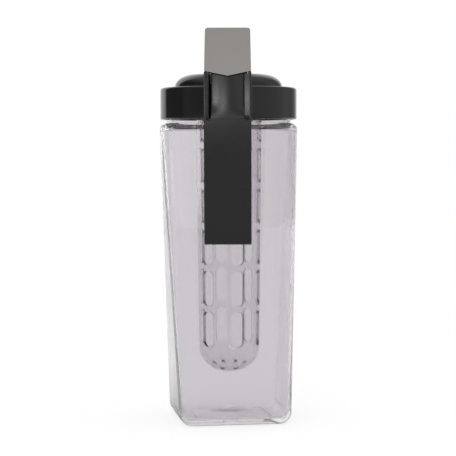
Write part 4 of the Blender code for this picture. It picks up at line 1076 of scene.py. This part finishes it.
set_piece("flip_dome", bm, POLISHED_BLACK, "cover", "flip_cover", edge=FINE_EDGE)

# %% [markdown]
# ## The strainer and the soft rings
#
# A slotted disc under the pouring hole holds the ice back, and its socket holds the infuser. The rings are
# soft, so their sections are rounded all over; the one in the cover has a hollow foot that seals better.

# %% Strainer
STRAINER_TOP = 0.2410
STRAINER_FOOT = 0.2390
STRAINER_RADIUS = 0.0424
SOCKET_INNER = 0.0256
SOCKET_WALL = 0.0020
SOCKET_FOOT = 0.2250
SLOT_COUNT = 10
SLOT_HALF = 0.0020
SLOT_START = 0.0092
SLOT_START_HALF = 0.0012
SLOT_END = 0.0190
DISC_EDGE = 0.0005
SOCKET_FILLET = 0.0008
SOCKET_CORNER = 0.0003

outer = SOCKET_INNER + SOCKET_WALL
section = [(0, STRAINER_TOP, 0), (STRAINER_RADIUS, STRAINER_TOP, DISC_EDGE),
           (STRAINER_RADIUS, STRAINER_FOOT, DISC_EDGE), (outer, STRAINER_FOOT, SOCKET_FILLET),
           (outer, SOCKET_FOOT, DISC_EDGE), (SOCKET_INNER, SOCKET_FOOT, DISC_EDGE),
           (SOCKET_INNER, STRAINER_FOOT, SOCKET_CORNER), (0, STRAINER_FOOT, 0)]
slot = plate(tapered_link((SLOT_START, 0), SLOT_START_HALF, (SLOT_END, 0), SLOT_HALF), PLAN,
             STRAINER_FOOT - OVERRUN, STRAINER_TOP + OVERRUN)
turns = [Matrix.Rotation(math.tau * index / SLOT_COUNT, 4, "Z") for index in range(SLOT_COUNT)]
bm = cut(lathe(rounded(section, closed=False)), copies(slot, turns))
set_piece("slotted_disc", bm, POLISHED_BLACK, "lid", "strainer", edge=FINE_EDGE)


# %% Soft rings
RINGS = {"lid_seal": (0.0030, 0.0004), "infuser_gasket": (0.0018, 0.0003),
         "cover_seal": (COVER_SEAL_WIDTH, 0.0006)}
LIP_HALF = 0.0004
LIP_RISE = 0.0003


def ring(node):
    """A flat ring in the node's own place, as wide as the node and rounded all over."""
    width, edge = RINGS[node]
    low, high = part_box(node)
    outer = (high.x - low.x) / 2
    inner = outer - width
    corners = [(inner, high.z, edge), (outer, high.z, edge), (outer, low.z, edge), (inner, low.z, edge)]
    return lathe(rounded(corners))


set_piece("rim_ring", ring("lid_seal"), SILICONE, "lid_ring", "lid_seal")
set_piece("flange_ring", ring("infuser_gasket"), SILICONE, "infuser_ring", "infuser_gasket")
middle_radius = POUR_RADIUS + COLLAR_WALL / 2
inner = middle_radius - LIP_HALF
outer = middle_radius + LIP_HALF
groove = lathe([(inner, TONGUE_LOW - OVERRUN), (outer, TONGUE_LOW - OVERRUN), (outer, TONGUE_LOW + LIP_RISE),
                (middle_radius, TONGUE_LOW + 2 * LIP_RISE), (inner, TONGUE_LOW + LIP_RISE)])
set_piece("collar_ring", cut(ring("cover_seal"), groove), SILICONE, "cover", "cover_seal")

# %% [markdown]
# ## The handle
#
# In side view the strap, the lever's panel and the thumb pad all follow one bow, a long arc. So the long
# pieces are a section spun about the bow's centre and cut off level at both ends. The handle's body has a
# bridge and two cheeks that no section describes, so that one is a plate in side view with its rims
# rounded, and the bow comes back in as the shape of what is cut from it.

# %% Bow
HANDLE_REACH = 0.0865
BOW_RADIUS = 0.2600
BOW_HEIGHT = 0.2000
BOW_CENTRE = (0, BOW_RADIUS - HANDLE_REACH, BOW_HEIGHT)
BOW_STEPS = 36
GRIP_WIDTH = 0.0326
GRIP_THICKNESS = 0.0090
GRIP_EDGE = 0.0011
SPARE_TURN = math.radians(1.5)
SPARE_SHARE = 0.4


def bow(height, depth=0.0):
    """Where the bow stands along Y at a height, at a depth behind its front."""
    return BOW_CENTRE[1] - math.sqrt((BOW_RADIUS - depth) ** 2 - (height - BOW_HEIGHT) ** 2)


def bow_line(start, end, depth, steps=BOW_STEPS):
    heights = [start + (end - start) * step / steps for step in range(steps + 1)]
    return [(bow(height, depth), height) for height in heights]


def along_bow(section, low, high, rims=0.0):
    """A section of (across, depth) points carried up the bow, with level ends and rounded end rims."""
    deepest = max(depth for across, depth in section)
    first, last = (math.asin((height - BOW_HEIGHT) / (BOW_RADIUS - deepest)) for height in (low, high))
    spare = SPARE_TURN + abs(deepest) / BOW_RADIUS * SPARE_SHARE
    bm = bmesh.new()
    bm.faces.new([bm.verts.new((across, depth - HANDLE_REACH, BOW_HEIGHT)) for across, depth in section])
    bmesh.ops.rotate(bm, verts=bm.verts, cent=BOW_CENTRE, matrix=Matrix.Rotation(spare - first, 3, "X"))
    bmesh.ops.spin(bm, geom=everything(bm), cent=BOW_CENTRE, axis=(1, 0, 0), angle=first - last - 2 * spare,
                   steps=BOW_STEPS)
    for height, way in ((low, -1), (high, 1)):
        trimmed = bmesh.ops.bisect_plane(bm, geom=everything(bm), dist=MERGE, plane_co=(0, 0, height),
                                         plane_no=(0, 0, way), clear_outer=True)["geom_cut"]
        bmesh.ops.edgeloop_fill(bm, edges=moved(trimmed, bmesh.types.BMEdge))
    bmesh.ops.recalc_face_normals(bm, faces=bm.faces)
    if rims:
        ends = [edge for edge in bm.edges if edge.calc_face_angle(0) > RIM_ANGLE
                and abs(edge.verts[0].co.z - edge.verts[1].co.z) < MERGE
                and min(abs(edge.verts[0].co.z - low), abs(edge.verts[0].co.z - high)) < MERGE]
        round_rims(bm, ends, rims)
    return bm


# %% Handle sizes
GRIP_FOOT = 0.1328
GRIP_FOOT_ROUND = 0.0032
GRIP_PALM_ROUND = 0.0100
BRIDGE_HEIGHT = 0.2215
BRIDGE_TOP = 0.2260
CHEEK_TOP = 0.2518
BAR_TOP = 0.2503
BRIDGE_INSET = 0.0030
CHEEK_REACH = 0.0640
CHEEK_THICKNESS = 0.0024
CHEEK_ROUND = 0.0060
CHEEK_NOSE = 0.0007
CHEEK_LOW_DROP = 0.0025
CHEEK_TURN = math.radians(15)
CHANNEL_FOOT = 0.2196
CHANNEL_DEPTH = 0.0056
LEVER_HALF = 0.0114
GROOVE_LIPS = (-0.0148, 0.0146)
GROOVE_FEET = (-0.0131, 0.0116)
GROOVE_DEPTHS = (0.0005, 0.0008)
GROOVE_GAP = 0.0116
GROOVE_BED = 0.0048
GROOVE_END = 0.0013
GROOVE_RUN = 0.00012
GRIP_WALL = 0.0024
POCKET_FOOT = 0.1370
POCKET_HEAD = 0.2080
GRIP_SCREW_HEIGHTS = (0.1500, 0.1950)
GRIP_SCREW_RADIUS = 0.0009
GRIP_SCREW_HEAD = 0.0021
GRIP_SCREW_HEAD_HEIGHT = 0.0010
GRIP_SCREW_LENGTH = 0.0050
GRIP_BOSS_RADIUS = 0.0027
INNER_THICKNESS = 0.0024
SCREW_HEAD = 0.0025
SCREW_HEAD_HEIGHT = 0.0014
SCREW_SINK = 0.0006
LEVER_PIN = (-0.0700, 0.2430)
LEVER_PIN_RADIUS = 0.0015


# %% Handle outlines
def grip_outline():
    """Side view of the handle: strap, bridge to the lid and the cheeks beside the lever."""
    foot = GRIP_FOOT + GRIP_FOOT_ROUND
    front_foot = bow(foot) + GRIP_FOOT_ROUND
    back_foot = bow(foot, GRIP_THICKNESS) - GRIP_FOOT_ROUND
    palm_height = BRIDGE_HEIGHT - GRIP_PALM_ROUND
    palm = (bow(palm_height, GRIP_THICKNESS) + GRIP_PALM_ROUND, palm_height)
    cheek = (-CHEEK_REACH, CHEEK_TOP - CHEEK_ROUND)
    lid_side = -LID_RADIUS + BRIDGE_INSET
    nose_height = CHEEK_TOP - CHEEK_NOSE
    nose = (bow(nose_height) + CHEEK_NOSE, nose_height)
    quarter = math.pi / 2
    return [*bow_line(foot, nose_height, 0), *arc(nose, CHEEK_NOSE, math.pi, quarter, 6)[1:],
            *arc(cheek, CHEEK_ROUND, quarter, CHEEK_TURN),
            (lid_side, LID_TOP - CHEEK_LOW_DROP), (lid_side, BRIDGE_HEIGHT),
            *arc(palm, GRIP_PALM_ROUND, quarter, math.pi, 14),
            *bow_line(palm_height, foot, GRIP_THICKNESS)[1:-1],
            *arc((back_foot, foot), GRIP_FOOT_ROUND, 0, -quarter, 6),
            *arc((front_foot, foot), GRIP_FOOT_ROUND, -quarter, -math.pi, 6)[:-1]]


def depth_rod(height, radius, front, back):
    """A short rod along Y between two depths of the bow."""
    return rod(radius, FRONT, (0, height), -bow(height, back), -bow(height, front))


def front_channel():
    """The channel for the lever's panel. Its left lip is short over a deep groove, its right one is wide."""
    (left_foot, right_foot), (left_depth, right_depth) = GROOVE_FEET, GROOVE_DEPTHS
    left, right = (lip + (lip - foot) * GROOVE_RUN / depth
                   for lip, foot, depth in zip(GROOVE_LIPS, GROOVE_FEET, GROOVE_DEPTHS))
    section = [(left, -OVERRUN), (right, -OVERRUN), (right, -GROOVE_RUN), (right_foot, right_depth),
               (right_foot, CHANNEL_DEPTH), (-GROOVE_GAP, CHANNEL_DEPTH), (-GROOVE_GAP, GROOVE_BED),
               (left_foot, left_depth), (left, -GROOVE_RUN)]
    return along_bow(section, CHANNEL_FOOT, CHEEK_TOP + OVERRUN)


def groove_end():
    """The slope that runs out of each groove at the channel's foot."""
    face = bow(CHANNEL_FOOT)
    outline = [(face - OVERRUN, CHANNEL_FOOT - GROOVE_END - OVERRUN), (face + GROOVE_END, CHANNEL_FOOT),
               (face + GROOVE_END, CHANNEL_FOOT + OVERRUN), (face - OVERRUN, CHANNEL_FOOT + OVERRUN)]
    left, right = GROOVE_LIPS
    return join(plate(outline, SIDE, left, -GROOVE_GAP), plate(outline, SIDE, GROOVE_GAP, right))


# %% Make the handle
half = GRIP_WIDTH / 2
channel_half = half - CHEEK_THICKNESS
top = CHEEK_TOP + OVERRUN
low = BRIDGE_HEIGHT - OVERRUN
back = -LID_RADIUS + BRIDGE_INSET + OVERRUN
bars = along_bow(rectangle((-channel_half, -OVERRUN), (channel_half, 2 * CHANNEL_DEPTH)), BAR_TOP, top)
behind = [*bow_line(top, BRIDGE_TOP, CHANNEL_DEPTH - CLEARANCE, 12), (back, BRIDGE_TOP), (back, top)]
bm = cut(plate(grip_outline(), SIDE, -half, half, edge=GRIP_EDGE, segments=4),
         rod(LID_RADIUS + CLEARANCE, PLAN, (0, 0), low, CHEEK_TOP, ROUND), front_channel(), groove_end(),
         bars, plate(behind, SIDE, -channel_half, channel_half))
pocket_half = half - GRIP_WALL
pocket = along_bow(rectangle((-pocket_half, GRIP_WALL), (pocket_half, GRIP_THICKNESS + OVERRUN)),
                   POCKET_FOOT, POCKET_HEAD)
for height in GRIP_SCREW_HEIGHTS:
    lean = GRIP_BOSS_RADIUS * abs(height - BOW_HEIGHT) / (BOW_RADIUS - GRIP_THICKNESS)
    boss_end = GRIP_THICKNESS - INNER_THICKNESS - CLEARANCE - lean
    pocket = cut(pocket, depth_rod(height, GRIP_BOSS_RADIUS, GRIP_WALL / 2, boss_end))
holes = [depth_rod(height, GRIP_SCREW_RADIUS + CLEARANCE, GRIP_WALL, GRIP_THICKNESS)
         for height in GRIP_SCREW_HEIGHTS]
sink_top = BRIDGE_HEIGHT + SCREW_SINK + SCREW_HEAD_HEIGHT + CLEARANCE
bm = cut(bm, pocket, *holes, screw_rods(SCREW_RADIUS + CLEARANCE, low, BRIDGE_TOP + OVERRUN),
         screw_rods(SCREW_HEAD + CLEARANCE, low, sink_top),
         rod(LEVER_PIN_RADIUS + CLEARANCE, SIDE, LEVER_PIN, -half - OVERRUN, half + OVERRUN))
set_piece("strap", bm, SATIN_BLACK, "lid", "handle_grip", crease=30, even=True)

# %% [markdown]
# ## The strap's inner cover
#
# The strap is hollow, to keep its wall thin. A curved strip closes it on the fingers' side and two small
# screws hold it. Rounding its ends leaves some points twice, which are merged before the holes are cut.

# %% Inner cover
STRIP_EDGE = 0.0005
STRIP_INNER_EDGE = 0.0003
STRIP_END_EDGE = 0.0004
STRIP_FINE_EDGE = 0.00015

half = pocket_half - CLEARANCE
face = GRIP_THICKNESS - INNER_THICKNESS
strip = rounded([(-half, face, STRIP_INNER_EDGE), (half, face, STRIP_INNER_EDGE),
                 (half, GRIP_THICKNESS, STRIP_EDGE), (-half, GRIP_THICKNESS, STRIP_EDGE)])
bm = along_bow(strip, POCKET_FOOT + CLEARANCE, POCKET_HEAD - CLEARANCE, rims=STRIP_END_EDGE)
bmesh.ops.remove_doubles(bm, verts=bm.verts, dist=MERGE)
seat = GRIP_THICKNESS - GRIP_SCREW_HEAD_HEIGHT - CLEARANCE
for height in GRIP_SCREW_HEIGHTS:
    bm = cut(bm, depth_rod(height, GRIP_SCREW_RADIUS + CLEARANCE, face - OVERRUN, GRIP_THICKNESS),
             depth_rod(height, GRIP_SCREW_HEAD + CLEARANCE, seat, GRIP_THICKNESS + OVERRUN))
set_piece("inner_strip", bm, SATIN_BLACK, "lid", "grip_inner", edge=STRIP_FINE_EDGE)

# %% [markdown]
# ## The thumb lever
#
# The lever's panel lies in the handle's channel, so that handle and lever read as one strap. Its face is
# crowned from side to side, which draws one soft highlight down its left half. Behind it a hub turns on the
# pin, an arm reaches to the cover's tail, and above the cheeks the paddle carries the pad.

# %% Lever sizes
LEVER_CROWN = 0.0018
LEVER_THICKNESS = 0.0045
LEVER_SIDE_ROUND = 0.0009
LEVER_HUB_RADIUS = 0.0042
LEVER_STEM_RADIUS = 0.0021
LEVER_HUB_HIGH = 0.00635
LEVER_NOSE = (-0.0525, 0.2533)
LEVER_NOSE_RADIUS = 0.0015
LEVER_ARM_ROOT = 0.00336
LEVER_ARM_MIDDLE = -0.002875
LEVER_ARM_WIDTH = 0.0062
LEVER_EDGE = 0.0004
PANEL_FOOT = CHANNEL_FOOT + 0.00006
PANEL_FADE = 0.0110
PADDLE_SETBACK = 0.0018
PADDLE_THICKNESS = 0.0036
PADDLE_MARGIN = 0.0024
PADDLE_FOOT = 0.2505
PAD_HALF = 0.0161
PAD_TOP = 0.2820
PAD_SIDE_FOOT = 0.2521
PAD_POINT_DROP = 0.0034
PAD_PROUD = 0.0008
PAD_DEPTH = 0.0062
PAD_CORNER = 0.0021
PAD_EDGE = 0.0009
PAD_TAPER = 0.035
PAD_SCORES = 32
PAD_GAP = 0.0009
PAD_FOOT_ROUND = 0.0003
PAD_POINT_ROUND = 0.0006


def crowned(half, crown, thickness, side_round):
    """A section with a face that bulges by the crown, as (across, depth) points."""
    radius = (half ** 2 + crown ** 2) / (2 * crown)
    turn = math.asin(half / radius)
    face = arc((0, radius), radius, -math.pi / 2 - turn, -math.pi / 2 + turn, 12)
    return rounded([(-half, crown, side_round), *square(face[1:-1]), (half, crown, side_round),
                    (half, thickness, LEVER_EDGE), (-half, thickness, LEVER_EDGE)])


def chevron(half, top, side_foot, drop, corner):
    """Front view of the pad: rounded upper corners and a blunt point below."""
    return rounded([(-half, side_foot, PAD_FOOT_ROUND), (0, side_foot - drop, PAD_POINT_ROUND),
                    (half, side_foot, PAD_FOOT_ROUND), (half, top, corner), (-half, top, corner)])


# %% Make the lever
bm = along_bow(crowned(LEVER_HALF, LEVER_CROWN, LEVER_THICKNESS, LEVER_SIDE_ROUND), PANEL_FOOT,
               PADDLE_FOOT + PADDLE_MARGIN)
for vert in bm.verts:
    depth = vert.co.y - bow(vert.co.z)
    if depth < LEVER_CROWN + LEVER_SIDE_ROUND:
        vert.co.y -= depth * (1 - smooth_step(vert.co.z, PANEL_FOOT, PANEL_FOOT + PANEL_FADE))
stem = (bow(LEVER_PIN[1], LEVER_CROWN + LEVER_STEM_RADIUS), LEVER_PIN[1])
hub = tapered_link(LEVER_PIN, LEVER_HUB_RADIUS, stem, LEVER_STEM_RADIUS, 12)
arm = tapered_link(LEVER_PIN, LEVER_ARM_ROOT, LEVER_NOSE, LEVER_NOSE_RADIUS, 12)
arm_half = LEVER_ARM_WIDTH / 2
bm = join(bm, plate(hub, SIDE, -LEVER_HALF + GRIP_EDGE, LEVER_HUB_HIGH, edge=LEVER_EDGE),
          plate(arm, SIDE, LEVER_ARM_MIDDLE - arm_half, LEVER_ARM_MIDDLE + arm_half, edge=LEVER_EDGE))
step = plate(chevron(2 * PAD_HALF, PAD_TOP, PAD_SIDE_FOOT + PAD_POINT_DROP - PAD_GAP, 2 * PAD_POINT_DROP,
                     PAD_CORNER), FRONT, HANDLE_REACH / 2, HANDLE_REACH + OVERRUN)
keep = along_bow(rectangle((-3 * PAD_HALF, PADDLE_SETBACK), (3 * PAD_HALF, HANDLE_REACH / 2)), CHANNEL_FOOT,
                 PAD_TOP + OVERRUN)
half = PAD_HALF - PADDLE_MARGIN
paddle = along_bow(rectangle((-half, PADDLE_SETBACK), (half, PADDLE_SETBACK + PADDLE_THICKNESS)),
                   PADDLE_FOOT, PAD_TOP - PADDLE_MARGIN, rims=LEVER_EDGE)
bm = join(cut(bm, cut(step, keep)), paddle)
bm = cut(bm, rod(LEVER_PIN_RADIUS + CLEARANCE, SIDE, LEVER_PIN, -LEVER_HALF - OVERRUN, LEVER_HALF + OVERRUN))
set_piece("lever", bm, SATIN_BLACK, "lever", "thumb_lever", crease=30, even=True)

# %% [markdown]
# ## The thumb pad
#
# A grey cap slides down over the paddle. Its front ends below in a blunt point. It starts as a flat plate
# with rounded rims, is scored across every millimetre, and each score then moves to its place on the bow.

# %% Make the pad
bm = plate(chevron(PAD_HALF, PAD_TOP, PAD_SIDE_FOOT, PAD_POINT_DROP, PAD_CORNER), FRONT,
           HANDLE_REACH - PAD_DEPTH, HANDLE_REACH + PAD_PROUD, edge=PAD_EDGE, segments=4)
low = PAD_SIDE_FOOT - PAD_POINT_DROP
for step in range(1, PAD_SCORES):
    score(bm, (0, 0, low + (PAD_TOP - low) * step / PAD_SCORES), (0, 0, 1))
for vert in bm.verts:
    vert.co.x *= 1 - PAD_TAPER * (vert.co.z - low) / (PAD_TOP - low)
    vert.co.y += bow(vert.co.z) + HANDLE_REACH
pocket_half = PAD_HALF - PADDLE_MARGIN + CLEARANCE
pocket = rectangle((-pocket_half, PADDLE_SETBACK - CLEARANCE), (pocket_half, PAD_DEPTH + OVERRUN))
bm = cut(bm, along_bow(pocket, low - OVERRUN, PAD_TOP - PADDLE_MARGIN + CLEARANCE))
set_piece("grey_pad", bm, WARM_GREY, "lever", "thumb_pad", crease=30, even=True)

# %% [markdown]
# ## Pins, screws and springs
#
# The steel parts are small but show when the cover is up. A pin is a rod with chamfered ends, a screw is
# turned and gets a cross recess, and a spring is one round wire section spun with a shift at each step.

# %% Pins and screws
PIN_CHAMFER = 0.0003
SCREW_RIM = 0.0001
SCREW_FILLET = 0.0002
SCREW_DOME_SHARE = 0.45
SCREW_POINT_SHARE = 0.3
CROSS_REACH_SHARE = 0.55
CROSS_HALF_SHARE = 0.13
CROSS_DEPTH_SHARE = 0.6


def pin(radius, centre, reach):
    return plate(arc(centre, radius, 0, math.tau, 32)[:-1], SIDE, -reach, reach, PIN_CHAMFER, 2)


def screw(radius, head, head_height, length):
    """A pan head screw along +Z with the outside of its head at the origin."""
    corners = [(0, 0, 0), (head, 0, head_height * SCREW_DOME_SHARE), (head, head_height, SCREW_RIM),
               (radius, head_height, SCREW_FILLET), (radius, length - radius, 0),
               (radius * SCREW_POINT_SHARE, length, 0), (0, length, 0)]
    arm = head * CROSS_REACH_SHARE
    bar = head * CROSS_HALF_SHARE
    cross = [(bar, bar), (bar, arm), (-bar, arm), (-bar, bar), (-arm, bar), (-arm, -bar), (-bar, -bar),
             (-bar, -arm), (bar, -arm), (bar, -bar), (arm, -bar), (arm, bar)]
    blank = lathe(rounded(corners, closed=False), 48)
    return cut(blank, plate(cross, PLAN, -head_height, head_height * CROSS_DEPTH_SHARE))


def set_screw(name, node, place, *sizes):
    bm = screw(*sizes)
    bmesh.ops.transform(bm, matrix=place, verts=bm.verts)
    set_piece(name, bm, STEEL, "lid", node)


bm = pin(COVER_PIN_RADIUS, COVER_HINGE, EAR_INNER + EAR_THICKNESS - CLEARANCE)
set_piece("hinge_pin", bm, STEEL, "lid", "cover_pin")
bm = pin(LEVER_PIN_RADIUS, LEVER_PIN, GRIP_WIDTH / 2 - CLEARANCE)
set_piece("pivot_pin", bm, STEEL, "lid", "lever_pin")
start = BRIDGE_HEIGHT + SCREW_SINK
length = BRACKET_LOW + BRACKET_THICKNESS - start - 2 * CLEARANCE
for side, name in ((-1, "left"), (1, "right")):
    set_screw(f"bracket_screw_{name}", f"handle_screw_{name}",
              Matrix.Translation((side * SCREW_SPACING / 2, -SCREW_REACH, start)),
              SCREW_RADIUS, SCREW_HEAD, SCREW_HEAD_HEIGHT, length)
facing = Matrix.Rotation(math.pi / 2, 4, "X")
for height, name in zip(GRIP_SCREW_HEIGHTS, ("lower", "upper")):
    set_screw(f"strip_screw_{name}", f"grip_screw_{name}",
              Matrix.Translation((0, bow(height, GRIP_THICKNESS), height)) @ facing,
              GRIP_SCREW_RADIUS, GRIP_SCREW_HEAD, GRIP_SCREW_HEAD_HEIGHT, GRIP_SCREW_LENGTH)

# %% Springs
WIRE_RADIUS = 0.00045
SPRING_PITCH = 0.0015
SPRING_HOOK = 0.0005
TURN_STEPS = 24
LEVER_COIL = {"start": 0.01315, "radius": 0.0030, "turns": 4, "leg": 0.0167}
COVER_COIL = {"start": 0.00845, "radius": 0.0024, "turns": 3, "leg": 0.0072}


def spring(centre, start, radius, turns, leg):
    """A coil along X: a straight leg down to its seat, the turns, and a hook at the far end."""
    bm = bmesh.new()
    bmesh.ops.create_circle(bm, cap_ends=True, segments=12, radius=WIRE_RADIUS)
    bmesh.ops.translate(bm, verts=bm.verts, vec=(start, centre[0] + radius, centre[1] - leg))
    raised = bmesh.ops.extrude_face_region(bm, geom=list(bm.faces))["geom"]
    bmesh.ops.translate(bm, verts=moved(raised), vec=(0, 0, leg))
    last = bmesh.ops.spin(bm, geom=raised, cent=(0, *centre), axis=(1, 0, 0), angle=math.tau * turns,
                          dvec=(-SPRING_PITCH / TURN_STEPS, 0, 0), steps=TURN_STEPS * turns)["geom_last"]
    hinge = (start - SPRING_PITCH * turns - SPRING_HOOK, centre[0] + radius, centre[1])
    bmesh.ops.spin(bm, geom=last, cent=hinge, axis=(0, -1, 0), angle=math.pi / 2, steps=5)
    bmesh.ops.recalc_face_normals(bm, faces=bm.faces)
    return bm


set_piece("lever_coil", spring(LEVER_PIN, **LEVER_COIL), STEEL, "lid", "lever_spring")
set_piece("cover_coil", spring(COVER_HINGE, **COVER_COIL), STEEL, "lid", "cover_spring")

# %% The boxes of the frame and of the finished pieces
size = {"cad": [list(corner) for corner in CAD_BOX], "visual": [list(corner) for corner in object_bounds()]}
